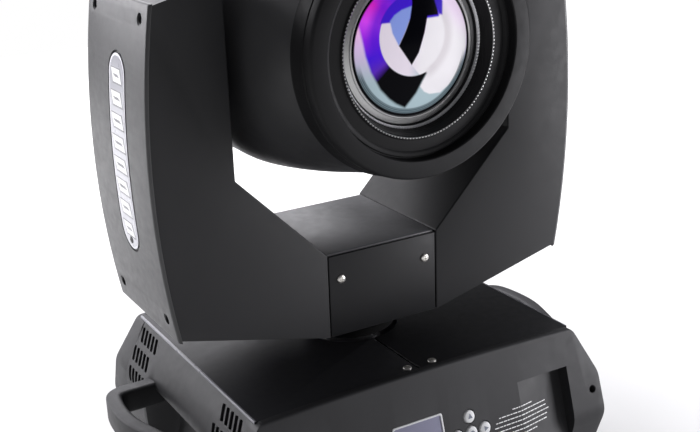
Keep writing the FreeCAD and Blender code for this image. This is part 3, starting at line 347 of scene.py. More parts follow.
def curved(points, rounds, steps=6):
    """An outline with each corner rounded by its own radius."""
    outline = []
    count = len(points)
    for number, (point, radius) in enumerate(zip(points, rounds)):
        here = Vector(point)
        before, after = Vector(points[number - 1]), Vector(points[(number + 1) % count])
        back, on = (before - here).normalized(), (after - here).normalized()
        half = math.acos(max(-1.0, min(1.0, back.dot(on)))) / 2
        if radius <= 0 or half > math.radians(89):
            outline.append(tuple(here))
            continue
        reach = min(radius / math.tan(half), (before - here).length * 0.45, (after - here).length * 0.45)
        start, end = here + back * reach, here + on * reach
        for step in range(steps + 1):
            t = step / steps
            outline.append(tuple(start * (1 - t) ** 2 + here * 2 * t * (1 - t) + end * t ** 2))
    return outline


def spline(points, steps):
    """Points along a smooth line through the points given."""
    line = []
    for number in range(len(points) - 1):
        before, here = points[max(0, number - 1)], points[number]
        after, beyond = points[number + 1], points[min(len(points) - 1, number + 2)]
        for step in range(steps):
            t = step / steps
            line.append(0.5 * ((2 * here) + (after - before) * t
                               + (2 * before - 5 * here + 4 * after - beyond) * t * t
                               + (3 * here - before - 3 * after + beyond) * t ** 3))
    return line + [points[-1]]


def grid(name, rows, material=None, ring=False):
    """A surface through rows of points, with the same number in each; ring closes each row."""
    vertices = [point for row in rows for point in row]
    return solid(name, vertices, woven(len(rows), len(rows[0]), ring), material)


def capped(item):
    """Closes the open ends of a surface."""
    worker = bmesh.new()
    worker.from_mesh(item.data)
    bmesh.ops.holes_fill(worker, edges=[e for e in worker.edges if len(e.link_faces) == 1], sides=0)
    bmesh.ops.recalc_face_normals(worker, faces=worker.faces)
    worker.to_mesh(item.data)
    worker.free()
    return soften(item)


def mirror_piece(item, name, axis=0):
    """A copy mirrored through the middle plane of an axis."""
    copy = item.copy()
    copy.data = item.data.copy()
    copy.name = name
    copy.data.name = name
    scene.collection.objects.link(copy)
    scale = Matrix.Diagonal([-1 if number == axis else 1 for number in range(3)] + [1])
    copy.data.transform(scale)
    copy.data.flip_normals()
    return copy


def joined(name, items):
    """Several objects as one piece, keeping their materials."""
    materials = []
    worker = bmesh.new()
    for item in items:
        slots = []
        for material in item.data.materials:
            if material not in materials:
                materials.append(material)
            slots.append(materials.index(material))
        before = len(worker.faces)
        worker.from_mesh(item.data)
        worker.faces.ensure_lookup_table()
        for face in worker.faces[before:]:
            face.material_index = slots[face.material_index] if slots else 0
        bpy.data.objects.remove(item)
    mesh = bpy.data.meshes.new(name)
    worker.to_mesh(mesh)
    worker.free()
    for material in materials:
        mesh.materials.append(material)
    result = bpy.data.objects.new(name, mesh)
    scene.collection.objects.link(result)
    return soften(result)


def both_sides(right, name, body, slot, node):
    """Puts a right-hand piece and its mirrored left-hand copy on a body; name and node take the side."""
    left = mirror_piece(right, name % "left")
    for item, side in ((right, "right"), (left, "left")):
        finished(item, body, slot, node % side)


def finished(item, body, slot, *stands_for):
    """Puts a piece on its body and hides the CAD nodes that it stands for; slot is not used."""
    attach(item, body)
    if stands_for:
        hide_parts(*stands_for)
    return item


# ---------------------------------------------------------------- fasteners
def pan_head(name, centre, out, radius=4.0, height=2.1, material=None):
    """A pan head screw with a cross recess, its top facing out."""
    dome = [(0.0, height)] + [(radius * math.sin(t), height * math.cos(t) ** 0.7)
                              for t in np.linspace(0.25, 1.45, 8)] + [(radius, 0.0), (0.0, 0.0)]
    head = knob(name, dome, material or NICKEL, 40)
    wide, narrow, depth = radius * 0.62, radius * 0.13, height * 0.45
    # The cross recess is cut with the near-black shade paint: painted shade.
    for low, high in (((-wide, -narrow, depth), (wide, narrow, height + 1)),
                      ((-narrow, -wide, depth), (narrow, wide, height + 1))):
        carve(head, block(name + "_cross", low, high, PAINTED_SHADE))
    turn = Vector(out).to_track_quat("Z", "Y").to_matrix().to_4x4()
    head.data.transform(Matrix.Translation(Vector(centre) * MM) @ turn)
    return head


# ---------------------------------------------------------------- yoke
def on_bulge(side, y, z, lift=0.0):
    """A point on an arm's bulged outer face, lifted off it by lift."""
    angle = math.asin((z - BULGE_Z) / BULGE_RADIUS)
    radius = BULGE_RADIUS + lift
    return (side * (BULGE_X - BULGE_RADIUS + radius * math.cos(angle)), y,
            BULGE_Z + radius * math.sin(angle))


def bulge_line(lift, low, high):
    return [on_bulge(1, 0, z, lift)[::2] for z in np.linspace(low, high, 24)]


def bulged_plate(name, rows, side, low, high, material=None):
    """A plate that follows the arm's outer face: rows of (z, y from, y to), between two lifts."""
    vertices = []
    for z, start, end in rows:
        vertices += [on_bulge(side, y, z, lift) for y, lift in
                     ((start, low), (end, low), (end, high), (start, high))]
    ends = [(0, 1, 2, 3), tuple(len(vertices) - n for n in (1, 2, 3, 4))]
    return solid(name, vertices, woven(len(rows), 4, True) + ends, material)


def oval_rows(low, high, half_width):
    """The rows of a stadium standing on its end."""
    steps = 14
    rows = [(low + half_width + half_width * math.sin(t), half_width * math.cos(t))
            for t in np.linspace(-math.pi / 2 * 0.985, 0, steps)]
    rows += [(z, half_width) for z in np.linspace(low + half_width, high - half_width, steps)[1:-1]]
    rows += [(low + high - z, half) for z, half in reversed(rows[:steps])]
    return [(z, BADGE_MIDDLE - half, BADGE_MIDDLE + half) for z, half in rows]


def bulged_skin(name, low, high, half, thick, edge, side, material):
    """A skin on the arm's outer face from low to high, with its outer rim rounded by edge."""
    steps, turns = 44, 6
    stations = [(low + edge * (1 - math.cos(t)), edge * (1 - math.sin(t)))
                for t in np.linspace(0, math.pi / 2, turns)]
    stations += [(z, 0.0) for z in np.linspace(low + edge, high - edge, steps)[1:-1]]
    stations += [(low + high - z, drop) for z, drop in reversed(stations[:turns])]
    rows = []
    for z, drop in stations:
        section = [(-half, -thick)]
        section += [(-half + edge * (1 - math.cos(t)), -edge * (1 - math.sin(t)) - drop)
                    for t in np.linspace(0, math.pi / 2, turns)]
        section += [(-y, lift) for y, lift in reversed(section)]
        rows.append([on_bulge(side, y, z, max(lift, -thick)) for y, lift in section])
    return capped(grid(name, rows, material, ring=True))


SKIN = 3.0
SEAM = 0.15
badge_low, badge_high = span("arm_badges")
BADGE_MIDDLE, BADGE_HALF_WIDTH = (badge_low.y + badge_high.y) / 2, (badge_high.y - badge_low.y) / 2
BADGE_LOW, BADGE_HIGH = badge_low.z, badge_high.z
ARM_SCREW_Y, ARM_SCREW_LOW, ARM_SCREW_HIGH, BEARING_RADIUS = 51.0, 222.0, 469.5, 24.0


def make_arm_body():
    line = bulge_line(-SKIN - SEAM, ARM_CORNER_Z + 0.5, ARM_TOP_OUTER)
    top_slope = (ARM_TOP_INNER - ARM_TOP_OUTER) / (line[-1][0] - ARM_INNER)
    outline = [(CROSS_HALF_WIDTH + 0.3, CROSS_LOW)] + line
    outline += [(ARM_INNER, line[-1][1] + top_slope * (line[-1][0] - ARM_INNER)),
                (ARM_INNER, SLOPE_TOP), (CROSS_HALF_WIDTH + 0.3, CROSS_TOP)]
    arm = slab("arm_body_right", outline, "y", -YOKE_HALF_DEPTH, YOKE_HALF_DEPTH, POWDER)
    round_where(arm, 1.3, lambda v: math.hypot(v.x - BULGE_X + BULGE_RADIUS, v.z - BULGE_Z)
                < BULGE_RADIUS - SKIN - 1.0)
    return carve(arm, disc_cutter("bearing_cut", (0, TILT), BEARING_RADIUS, "x",
                                  ARM_INNER - 4, ARM_INNER + 20))


COUNTERSINK = ((0.0, -6.0), (4.3, -6.0), (4.3, -0.7), (5.4, 0.4), (5.4, 3.0), (0.0, 3.0))


def make_arm_cover(side, name):
    # The cover is painted in the lighter copy of the powder coat: painted light.
    cover = bulged_skin(name, ARM_CORNER_Z - 2.0, ARM_TOP_OUTER + 1.0, YOKE_HALF_DEPTH, SKIN, 2.4, side,
                        POWDER_LIT_SIDE)
    gap = 2.4
    opening = oval_rows(BADGE_LOW - gap, BADGE_HIGH + gap, BADGE_HALF_WIDTH + gap)
    # The walls of the badge pocket take the near-black shade paint: painted shade.
    carve(cover, bulged_plate("badge_pocket", opening, side, -1.9, 3.0, PAINTED_SHADE))
    # The walls of the countersinks take the near-black shade paint: painted shade.
    for y in (-ARM_SCREW_Y, ARM_SCREW_Y):
        for z in (ARM_SCREW_LOW, ARM_SCREW_HIGH):
            x = abs(on_bulge(1, y, z)[0])
            cone = [(radius, side * (x + along)) for radius, along in COUNTERSINK]
            carve(cover, turned("countersink", cone, (0, y, z), "x", PAINTED_SHADE, steps=32, closed=False))
    return cover


BADGE_BARS, BADGE_BAR_HEIGHT, BADGE_END, BADGE_RIM, BAR_SLANT = 8, 11.0, 18.0, 2.0, 2.2
# Each bar's layers: how much larger than the bar, how much lower, its top's lift and its paint. The first
# layer, grey, larger and set a little lower, is an outline and a painted shadow under the bar.
BAR_LAYERS = ((2.2, 0.3, 0.38, MARK), (0.0, 0.0, 0.5, PRINT), (-9.0, 0.0, 0.56, MARK))


def make_badge(side, name):
    """A silver nameplate with a raised rim and a row of plain slanting bars."""
    plate = bulged_plate(name, oval_rows(BADGE_LOW, BADGE_HIGH, BADGE_HALF_WIDTH), side, -1.9, 0.15, SILVER)
    inner = oval_rows(BADGE_LOW + BADGE_RIM, BADGE_HIGH - BADGE_RIM, BADGE_HALF_WIDTH - BADGE_RIM)
    face = bulged_plate(name + "_face", inner, side, 0.1, 0.3, BADGE)
    marks = []
    pitch = (BADGE_HIGH - BADGE_LOW - 2 * BADGE_END) / (BADGE_BARS - 1)
    for number in range(BADGE_BARS):
        middle = BADGE_LOW + BADGE_END + number * pitch
        half = BADGE_HALF_WIDTH * (0.5 + 0.18 * math.sin(math.pi * (number + 0.5) / BADGE_BARS))
        for grow, drop, top, paint in BAR_LAYERS:
            tall, wide = (BADGE_BAR_HEIGHT + grow) / 2, half + grow / 2
            rows = [(middle + way * tall - drop, BADGE_MIDDLE - wide + way * BAR_SLANT,
                     BADGE_MIDDLE + wide + way * BAR_SLANT) for way in (-1, 1)]
            marks.append(bulged_plate("%s_mark_%d" % (name, number), rows, side, 0.25, top, paint))
    x, y, z = on_bulge(side, BADGE_MIDDLE, BADGE_LOW + 8.0, 0.2)
    marks.append(pan_head(name + "_rivet", (x, y, z), (side, 0, 0), 3.4, 0.9, GLOSS))
    return joined(name, [plate, face] + marks)


both_sides(make_arm_body(), "arm_body_%s", "yoke", "powder_black", "%s_arm_frame")
for name, side in (("right", 1), ("left", -1)):
    finished(make_arm_cover(side, "arm_cover_" + name), "yoke", "powder_black", name + "_arm_cover")
badges = [make_badge(side, "badge_" + name) for name, side in (("right", 1), ("left", -1))]
finished(joined("nameplates", badges), "yoke", "badge_silver", "arm_badges")


def arm_screws():
    items = []
    for side in (-1, 1):
        for y in (-ARM_SCREW_Y, ARM_SCREW_Y):
            for z in (ARM_SCREW_LOW, ARM_SCREW_HIGH):
                # The screw heads deep in the countersinks are near-black: painted shade.
                x = on_bulge(side, y, z, -3.4)[0]
                items.append(pan_head("arm_screw", (x, y, z), (side, 0, 0), 3.6, 1.2, PAINTED_SHADE))
    return items


finished(joined("arm_cover_screws", arm_screws()), "yoke", "powder_black")

PANEL_THICK = 3.0
# The crossbar takes the lighter copy of the powder coat: painted light.
crossbar = block("crossbar", (-CROSS_HALF_WIDTH, -YOKE_HALF_DEPTH + PANEL_THICK + 0.4, CROSS_LOW + 0.5),
                 (CROSS_HALF_WIDTH, YOKE_HALF_DEPTH - PANEL_THICK - 0.4, CROSS_TOP), POWDER_LIT_CROSS, edge=1.2)
shaft_well = disc_cutter("shaft_well", (0, 0), 40.0, "z", CROSS_LOW - 5, CROSS_TOP - 8)
# The neck is near-black: painted shade under the crossbar.
neck_profile = [(40.0, CROSS_LOW + 2), (44.0, CROSS_LOW + 2), (44.0, CROSS_LOW - 8),
                (42.6, CROSS_LOW - 9.5), (42.6, CROSS_LOW - 12), (44.0, CROSS_LOW - 13.5),
                (44.0, cross_low.z + 1.0), (43.0, cross_low.z), (40.0, cross_low.z)]
neck = turned("neck", neck_profile, (0, 0, 0), "z", PAINTED_SHADE)
finished(joined("crossbar_with_neck", [carve(crossbar, shaft_well), neck]), "yoke", "powder_black",
         "yoke_crossbar")
PANEL_GAP = 0.7
for name, side in (("front", -1), ("rear", 1)):
    near, far = sorted((side * (YOKE_HALF_DEPTH - PANEL_THICK), side * (YOKE_HALF_DEPTH - 0.3)))
    panel = block("cross_panel_" + name, (-CROSS_HALF_WIDTH + PANEL_GAP, near, CROSS_LOW),
                  (CROSS_HALF_WIDTH - PANEL_GAP, far, CROSS_TOP - 1.6), POWDER, edge=0.8)
    finished(panel, "yoke", "powder_black", "yoke_%s_panel" % name)
screw_low, screw_high = span("yoke_screws")
PANEL_SCREW_X, PANEL_SCREW_Z = screw_high.x - 4.0, (screw_low.z + screw_high.z) / 2
panel_screws = [pan_head("panel_screw_%d%d" % (across, side),
                         (across * PANEL_SCREW_X, side * (YOKE_HALF_DEPTH - 0.3), PANEL_SCREW_Z),
                         (0, side, 0)) for across in (-1, 1) for side in (-1, 1)]
finished(joined("cross_panel_screws", panel_screws), "yoke", "screw_steel", "yoke_screws")


# ---------------------------------------------------------------- base
LEAN = math.atan2(KINK_HALF_DEPTH - BASE_HALF_DEPTH - 3.0, BASE_TOP - 4.0 - KINK_Z)


def face_depth(z):
    """How far forward the leaning face of a base end stands at a height."""
    return BASE_HALF_DEPTH + 3.0 + (BASE_TOP - 4.0 - z) * math.tan(LEAN)


def to_face(item, x, z):
    """Moves a piece made round the origin with +Z outwards onto the front face."""
    outward = Vector((0, -math.cos(LEAN), math.sin(LEAN)))
    rise = Vector((0, math.sin(LEAN), math.cos(LEAN)))
    turn = Matrix((Vector((1, 0, 0)), rise, outward)).transposed().to_4x4()
    place = Vector((x, -face_depth(z), z)) * MM
    item.data.transform(Matrix.Translation(place) @ turn)
    return item


CROWN = 3.2


def end_outline():
    """The outline of a base end seen from the front."""
    right = [(BASE_HALF_WIDTH, BASE_TOP), (SHOULDER_HALF_WIDTH, SHOULDER_Z),
             (KINK_HALF_WIDTH, KINK_Z), (FOOT_HALF_WIDTH, BASE_FOOT)]
    points = right + [(-x, z) for x, z in reversed(right)] + [(0.0, BASE_TOP + CROWN + 6)]
    rounds = [12, 26, 34, 2, 2, 34, 26, 12, 0]
    return curved(points, rounds)


def lean_outline():
    points = [(-BEZEL_HALF_DEPTH, BASE_TOP - 2.2), (-COVER_HALF_DEPTH - 0.3, BASE_TOP - 2.2),
              (-COVER_HALF_DEPTH - 0.3, BASE_TOP), (-face_depth(BASE_TOP), BASE_TOP),
              (-KINK_HALF_DEPTH, KINK_Z), (-FOOT_HALF_DEPTH, BASE_FOOT), (-BEZEL_HALF_DEPTH, BASE_FOOT)]
    return curved(points, [0, 0, 0.8, 5.0, 30, 2, 0])


def make_end():
    """A moulded end of the base, its top rim crowned towards the middle."""
    rows = []
    for x in np.linspace(-KINK_HALF_WIDTH - 2, KINK_HALF_WIDTH + 2, 41):
        crown = CROWN * max(0.0, 1 - (x / BASE_HALF_WIDTH) ** 2)
        row = []
        for y, z in lean_outline():
            rim = y < -COVER_HALF_DEPTH - 0.2 and z > BASE_TOP - 2.0
            face = max(0.0, (z - KINK_Z) / (BASE_TOP - KINK_Z)) ** 4 if y < -face_depth(z) + 0.5 else 0.0
            row.append((x, y, z + crown * (1.0 if rim else face)))
        rows.append(row)
    end = capped(grid("base_end", rows, MOULDED, ring=True))
    mask = slab("end_mask", end_outline(), "y", -KINK_HALF_DEPTH - 4, -BEZEL_HALF_DEPTH + 1, MOULDED)
    carve(end, mask, how="INTERSECT")
    return soften(round_edges(end, 1.6, 35.0))


button_boxes = {name: span("button_" + name) for name in ("up", "down", "left", "right", "enter")}
BUTTON_SPOTS = {name: ((low.x + high.x) / 2, (low.z + high.z) / 2 - 0.5)
                for name, (low, high) in button_boxes.items()}
BUTTON_RADIUS = (button_boxes["up"][1].x - button_boxes["up"][0].x) / 2
display_low, display_high = span("display_window")
DISPLAY_X = (display_low.x - 0.4, display_high.x + 0.4)
DISPLAY_Z = (72.0, 114.0)


def rounded_box(name, width, height, radius, low, high, material=None, edge=0.0):
    right, top = width / 2, height / 2
    corners = [(-right, -top), (right, -top), (right, top), (-right, top)]
    return slab(name, curved(corners, [radius] * 4), "z", low, high, material, edge)


WELL_DEPTH, SIDE_HOLE_X, SIDE_HOLE_Z = 9.5, 176.0, 90.0


def make_front_end():
    end = make_end()
    end.name = "front_bezel"
    width, height = DISPLAY_X[1] - DISPLAY_X[0], (DISPLAY_Z[1] - DISPLAY_Z[0]) / math.cos(LEAN)
    display_middle = (sum(DISPLAY_X) / 2, sum(DISPLAY_Z) / 2)
    # The walls of the display window take the near-black shade paint: painted shade.
    carve(end, to_face(rounded_box("window", width, height, 2.5, -5, 3, PAINTED_SHADE), *display_middle))
    # The button wells take the near-black shade paint: painted shade.
    for spot in BUTTON_SPOTS.values():
        well = [(0, -WELL_DEPTH), (BUTTON_RADIUS + 0.6, -WELL_DEPTH), (BUTTON_RADIUS + 0.6, -0.6),
                (BUTTON_RADIUS + 1.2, 1.0), (0, 1.0)]
        carve(end, to_face(knob("button_well", well, PAINTED_SHADE, 48), *spot))
    for side in (-1, 1):
        carve(end, pocket_cutter(side))
        # The side holes take the near-black shade paint: painted shade.
        hole = [(0, -5), (3.4, -5), (3.4, -0.6), (4.4, 0.5), (0, 0.5)]
        carve(end, to_face(knob("side_hole", hole, PAINTED_SHADE, 32), side * SIDE_HOLE_X, SIDE_HOLE_Z))
    return end


POCKET_NEAR, POCKET_FAR, POCKET_TOP, POCKET_LOW, POCKET_DEPTH = 92.0, 150.0, 118.0, 38.0, 13.0


def pocket_cutter(side):
    """The wedge of the pocket beside the panel, deepest at its outer end."""
    height = (POCKET_TOP - POCKET_LOW) / math.cos(LEAN)
    wedge = [(side * POCKET_NEAR, 1.0), (side * POCKET_FAR, 1.0), (side * POCKET_FAR, -POCKET_DEPTH),
             (side * (POCKET_FAR - 8), -POCKET_DEPTH), (side * POCKET_NEAR, -0.1)]
    cutter = slab("pocket", wedge, "y", -height / 2, height / 2, MOULDED)
    # The pocket's end walls are painted near-black as painted shade; its sloping floor keeps the panel's
    # own colour.
    cutter.data.materials.append(PAINTED_SHADE)
    for face in cutter.data.polygons:
        face.material_index = 1 if abs(face.normal.x) > 0.9 else 0
    return to_face(cutter, 0, (POCKET_TOP + POCKET_LOW) / 2)


finished(make_front_end(), "base", "moulded_black", "base_front_bezel")


def make_display():
    """A silver frame, a grey screen with plain blocks and the clear window's edge."""
    width, height = DISPLAY_X[1] - DISPLAY_X[0] - 0.6, (DISPLAY_Z[1] - DISPLAY_Z[0]) / math.cos(LEAN) - 0.6
    rim = rounded_box("display_rim", width, height, 2.3, -4.5, 0.5, PRINT, edge=0.35)
    carve(rim, rounded_box("display_cut", width - 3.2, height - 3.2, 1.4, -0.6, 3, SLATE))
    columns, lines = 64, 40
    rows = [[((a / columns - 0.5) * (width - 3.2), (b / lines - 0.5) * (height - 3.2), -0.35)
             for a in range(columns + 1)] for b in range(lines + 1)]
    screen = grid("display_screen", rows, SCREEN)
    colours = screen.data.color_attributes.new("screen", "FLOAT_COLOR", "POINT")
    for vertex, value in zip(screen.data.vertices, colours.data):
        u = vertex.co.x / MM / width + 0.5
        v = vertex.co.y / MM / height + 0.5
        band = 0.12 < v < 0.2 or 0.45 < v < 0.5
        shade = 0.7 if band and 0.15 < u < 0.7 else 1.0
        # The screen is painted lighter towards its right.
        brightness = 0.75 + 0.25 * u
        value.color = (0.30 * shade * brightness, 0.30 * shade * brightness, 0.41 * shade * brightness, 1.0)
    return [rim, screen]


display = joined("display", make_display())
to_face(display, sum(DISPLAY_X) / 2, sum(DISPLAY_Z) / 2)
finished(display, "base", "display", "display_window")

ARROWS = {"up": 90, "down": -90, "left": 180, "right": 0, "enter": None}
for name, spot in BUTTON_SPOTS.items():
    rim = BUTTON_RADIUS
    cap_profile = [(0, 2.0), (rim - 2.2, 1.9), (rim - 0.9, 1.4), (rim - 0.1, 0.3), (rim, -1.0),
                   (rim, -6.0), (0, -6.0)]
    cap = knob("cap", cap_profile, BUTTON, 56)
    if ARROWS[name] is None:
        mark = knob("mark", [(0, 2.2), (2.0, 2.2), (2.0, 1.7), (0, 1.7)], SLATE, 32)
    else:
        turn = math.radians(ARROWS[name])
        corners = [(2.8, 0), (-1.5, 2.3), (-1.5, -2.3)]
        outline = [(x * math.cos(turn) - y * math.sin(turn), x * math.sin(turn) + y * math.cos(turn))
                   for x, y in corners]
        mark = slab("mark", outline, "z", 1.6, 2.15, SLATE)
    button = to_face(joined("key_" + name, [cap, mark]), *spot)
    finished(button, "button_" + name, "button_grey", "button_" + name)


LEGEND_X, LEGEND_TOP, LEGEND_PITCH = 94.0, 96.5, 3.9
LEGEND_WIDTHS, DASH_LENGTHS, DASH_GAP = (24, 56, 64, 68, 64, 52, 26), (3.4, 2.2, 4.6), 0.9


def make_legend():
    """Rows of plain dashes where the panel's printed legend stands."""
    dashes = []
    slope = POCKET_DEPTH / (POCKET_FAR - 8 - POCKET_NEAR)
    for line, width in enumerate(LEGEND_WIDTHS):
        x = LEGEND_X - width / 2
        while x < LEGEND_X + width / 2:
            length = DASH_LENGTHS[(len(dashes) + line) % 3]
            far = x + length
            dash = slab("dash", [(x, -0.4), (far, -0.4), (far, 0.4), (x, 0.4)], "z", 0.0, 0.34, PRINT)
            for vertex in dash.data.vertices:
                vertex.co.z -= max(0.0, vertex.co.x / MM - POCKET_NEAR) * slope * MM
            dashes.append(to_face(dash, 0, LEGEND_TOP - LEGEND_PITCH * line))
            x = far + DASH_GAP
    return dashes


finished(joined("panel_legend", make_legend()), "base", "button_grey")

# The two sheets of the top cover, with a rolled edge along each side, pale grey as a painted highlight.
NECK_CUT_RADIUS = 47.0
for name, side in (("left", -1), ("right", 1)):
    near, far = sorted((side * 1.1, side * BASE_HALF_WIDTH))
    cover = block("top_cover_" + name, (near, -COVER_HALF_DEPTH, BASE_TOP - 2.0),
                  (far, COVER_HALF_DEPTH, BASE_TOP), POWDER_TOP)
    round_where(cover, 1.3, lambda v: abs(v.x) > BASE_HALF_WIDTH - 1 and v.z > BASE_TOP - 1)
    round_where(cover, 0.8, lambda v: abs(v.x) < 2 and v.z > BASE_TOP - 1)
    carve(cover, disc_cutter("neck_cut", (0, 0), NECK_CUT_RADIUS, "z", BASE_TOP - 6, BASE_TOP + 3, 72))
    outer, inner = side * (BASE_HALF_WIDTH + 0.1), side * (BASE_HALF_WIDTH - 2.1)
    under, over = BASE_TOP - 1.9, BASE_TOP + 0.35
    roll = curved([(outer, under), (outer, over), (inner, over), (inner, under)], [0, 1.6, 1.0, 0])
    bead = slab("rolled_edge_painted_highlight_" + name, roll, "y", -COVER_HALF_DEPTH, COVER_HALF_DEPTH, EDGE_HIGHLIGHT)
    finished(joined("top_cover_" + name, [cover, bead]), "base", "powder_black", "base_top_cover_" + name)
COVER_SCREWS = ((-9, -117), (17, -117), (-17, 117), (9, 117))
cover_screws = [pan_head("cover_screw_%d" % number, (x, y, BASE_TOP), (0, 0, 1))
                for number, (x, y) in enumerate(COVER_SCREWS)]
finished(joined("top_cover_screws", cover_screws), "base", "screw_steel", "base_screws")


def side_profile(scoop):
    """The side moulding's section from the top edge to the foot; scoop hollows it for the hand."""
    shoulder = Vector((SHOULDER_HALF_WIDTH, SHOULDER_Z))
    points = [Vector((BASE_HALF_WIDTH, BASE_TOP - 2.2)),
              Vector((174.5, 127.0)),
              shoulder + Vector((-6.0, 3.0)) * scoop,
              Vector((KINK_HALF_WIDTH, KINK_Z + 22)) + Vector((-19.0, 4.0)) * scoop,
              Vector((KINK_HALF_WIDTH, KINK_Z + 4)) + Vector((-30.0, 8.0)) * scoop,
              Vector((KINK_HALF_WIDTH - 3, 44)) + Vector((-24.0, 4)) * scoop,
              Vector((FOOT_HALF_WIDTH, BASE_FOOT))]
    return spline(points, 8)


SCOOP_FRONT, SCOOP_REAR, SCOOP_FADE, SCOOP_END = -62.0, 60.0, 34.0, 10.0


def scoop_at(y):
    rise = min(1.0, max(0.0, (y - (SCOOP_FRONT - SCOOP_FADE)) / SCOOP_FADE))
    fall = min(1.0, max(0.0, (SCOOP_REAR + SCOOP_END - y) / SCOOP_END))
    depth = min(rise, fall)
    return depth * depth * (3 - 2 * depth)


VENT_SLANT, VENT_WIDTH, VENT_LENGTH = math.radians(24.0), 5.2, 16.5


def vent_cutter(y, z):
    """One slanting slot through the sloping part of the side moulding."""
    slope = math.atan2(SHOULDER_HALF_WIDTH - BASE_HALF_WIDTH, BASE_TOP - SHOULDER_Z)
    wide, tall = VENT_WIDTH / 2, VENT_LENGTH / 2
    outline = curved([(-wide, -tall), (wide, 1.5 - tall), (wide, tall), (-wide, tall - 1.5)], [1.4] * 4, 3)
    # The walls of the slots take the near-black shade paint: painted shade.
    slot = slab("vent", outline, "z", -9, 9, PAINTED_SHADE)
    x = BASE_HALF_WIDTH + (BASE_TOP - z) * math.tan(slope)
    outward = Vector((math.cos(slope), 0, math.sin(slope)))
    up_slope = Vector((-math.sin(slope), 0, math.cos(slope)))
    down = Vector((0, math.sin(VENT_SLANT), 0)) + up_slope * math.cos(VENT_SLANT)
    across = down.cross(outward)
    turn = Matrix((across, down, outward)).transposed().to_4x4()
    slot.data.transform(Matrix.Translation(Vector((x, y, z)) * MM) @ turn)
    return slot


VENT_ROWS, VENT_COLUMNS, VENT_PITCH_Y, VENT_PITCH_Z = 3, 5, 8.2, 17.5
VENT_TOP, VENT_REAR, VENT_FRONT, SIDE_WALL = 138.0, 76.0, -110.0, 3.0


def make_side():
    rows = []
    for y in np.linspace(-BEZEL_HALF_DEPTH, BEZEL_HALF_DEPTH, 80):
        outer = side_profile(scoop_at(y))
        rows.append([(p.x, y, p.y) for p in outer] + [(p.x - SIDE_WALL, y, p.y) for p in reversed(outer)])
    side = capped(grid("side_moulding_right", rows, MOULDED, ring=True))
    cutters = []
    for row in range(VENT_ROWS):
        z = VENT_TOP - row * VENT_PITCH_Z
        for number in range(VENT_COLUMNS):
            along = (number + 0.5 * (row % 2)) * VENT_PITCH_Y
            cutters.append(vent_cutter(VENT_REAR + along - row, z))
            cutters.append(vent_cutter(VENT_FRONT + along, z))
    return carve(side, joined("vent_slots", cutters))


both_sides(make_side(), "side_moulding_%s", "base", "moulded_black", "base_%s_cover")


# ---------------------------------------------------------------- handles
handle_low, handle_high = span("right_handle")
HANDLE_WIDTH = 14.5


def handle_path():
    """The middle line of the handle's band in plan, from the front root to the rear root."""
    reach = handle_high.x - HANDLE_WIDTH / 2
    front, rear = handle_low.y, handle_high.y
    control = [(174.0, front - 2), (196.5, front + 26), (reach - 8.0, front + 82), (reach, rear - 60),
               (reach - 1.5, rear - 24), (reach - 9.0, rear - 9.5), (194.0, rear - 7.4),
               (172.0, rear - 7.4)]
    return spline([Vector(point) for point in control], 12)


def make_handle():
    path = handle_path()
    middle = (handle_low.z + handle_high.z) / 2
    half_height = (handle_high.z - handle_low.z) / 2
    half_width = HANDLE_WIDTH / 2
    corners = [(-half_width, -half_height), (half_width, -half_height),
               (half_width, half_height), (-half_width, half_height)]
    section = curved(corners, [5.0, 3.5, 3.0, 5.0], 5)
    rows = []
    for number, point in enumerate(path):
        along = (path[min(len(path) - 1, number + 1)] - path[max(0, number - 1)]).normalized()
        outward = Vector((along.y, -along.x))
        rows.append([(point.x + outward.x * a, point.y + outward.y * a, middle + b) for a, b in section])
    return capped(grid("carry_handle_right", rows, MOULDED, ring=True))


both_sides(make_handle(), "carry_handle_%s", "base", "moulded_black", "%s_handle")

# ---------------------------------------------------------------- base: rear end, feet and connectors
front_pattern = make_end()
rear_end = mirror_piece(front_pattern, "rear_bezel", axis=1)
bpy.data.objects.remove(front_pattern)
sockets = {name: span(name) for name in ("dmx_in_socket", "dmx_out_socket", "power_inlet")}
SOCKET_Z, SOCKET_HOLE_RADIUS = (sockets["power_inlet"][0].z + sockets["power_inlet"][1].z) / 2, 12.8
for name, (low, high) in sockets.items():
    carve(rear_end, disc_cutter("socket_hole", ((low.x + high.x) / 2, SOCKET_Z), SOCKET_HOLE_RADIUS, "y",
                                BEZEL_HALF_DEPTH - 2, KINK_HALF_DEPTH + 6))
finished(rear_end, "base", "moulded_black", "base_rear_bezel")


PIN_COUNT, PIN_CIRCLE = 3, 5.2


def make_socket(name, low, high):
    across, back = (low.x + high.x) / 2, high.y
    floor = back - 17
    shell = [(10.9, back + 1.6), (12.2, back + 1.9), (13.6, back + 1.2), (13.8, back - 0.6),
             (12.5, back - 1.0), (12.5, low.y), (0.01, low.y), (0.01, floor), (10.9, floor)]
    pin = [(0, floor), (1.2, floor), (1.2, back - 6), (0.7, back - 5), (0, back - 5)]
    parts = [turned(name + "_shell", shell, (across, 0, SOCKET_Z), "y", GLOSS, steps=64)]
    for number in range(PIN_COUNT):
        angle = math.radians(90 + 360 * number / PIN_COUNT)
        place = (across + PIN_CIRCLE * math.cos(angle), 0, SOCKET_Z + PIN_CIRCLE * math.sin(angle))
        parts.append(turned("pin", pin, place, "y", NICKEL, steps=16, closed=False))
    return joined(name + "_piece", parts)


for name, (low, high) in sockets.items():
    finished(make_socket(name, low, high), "base", "socket_black", name)

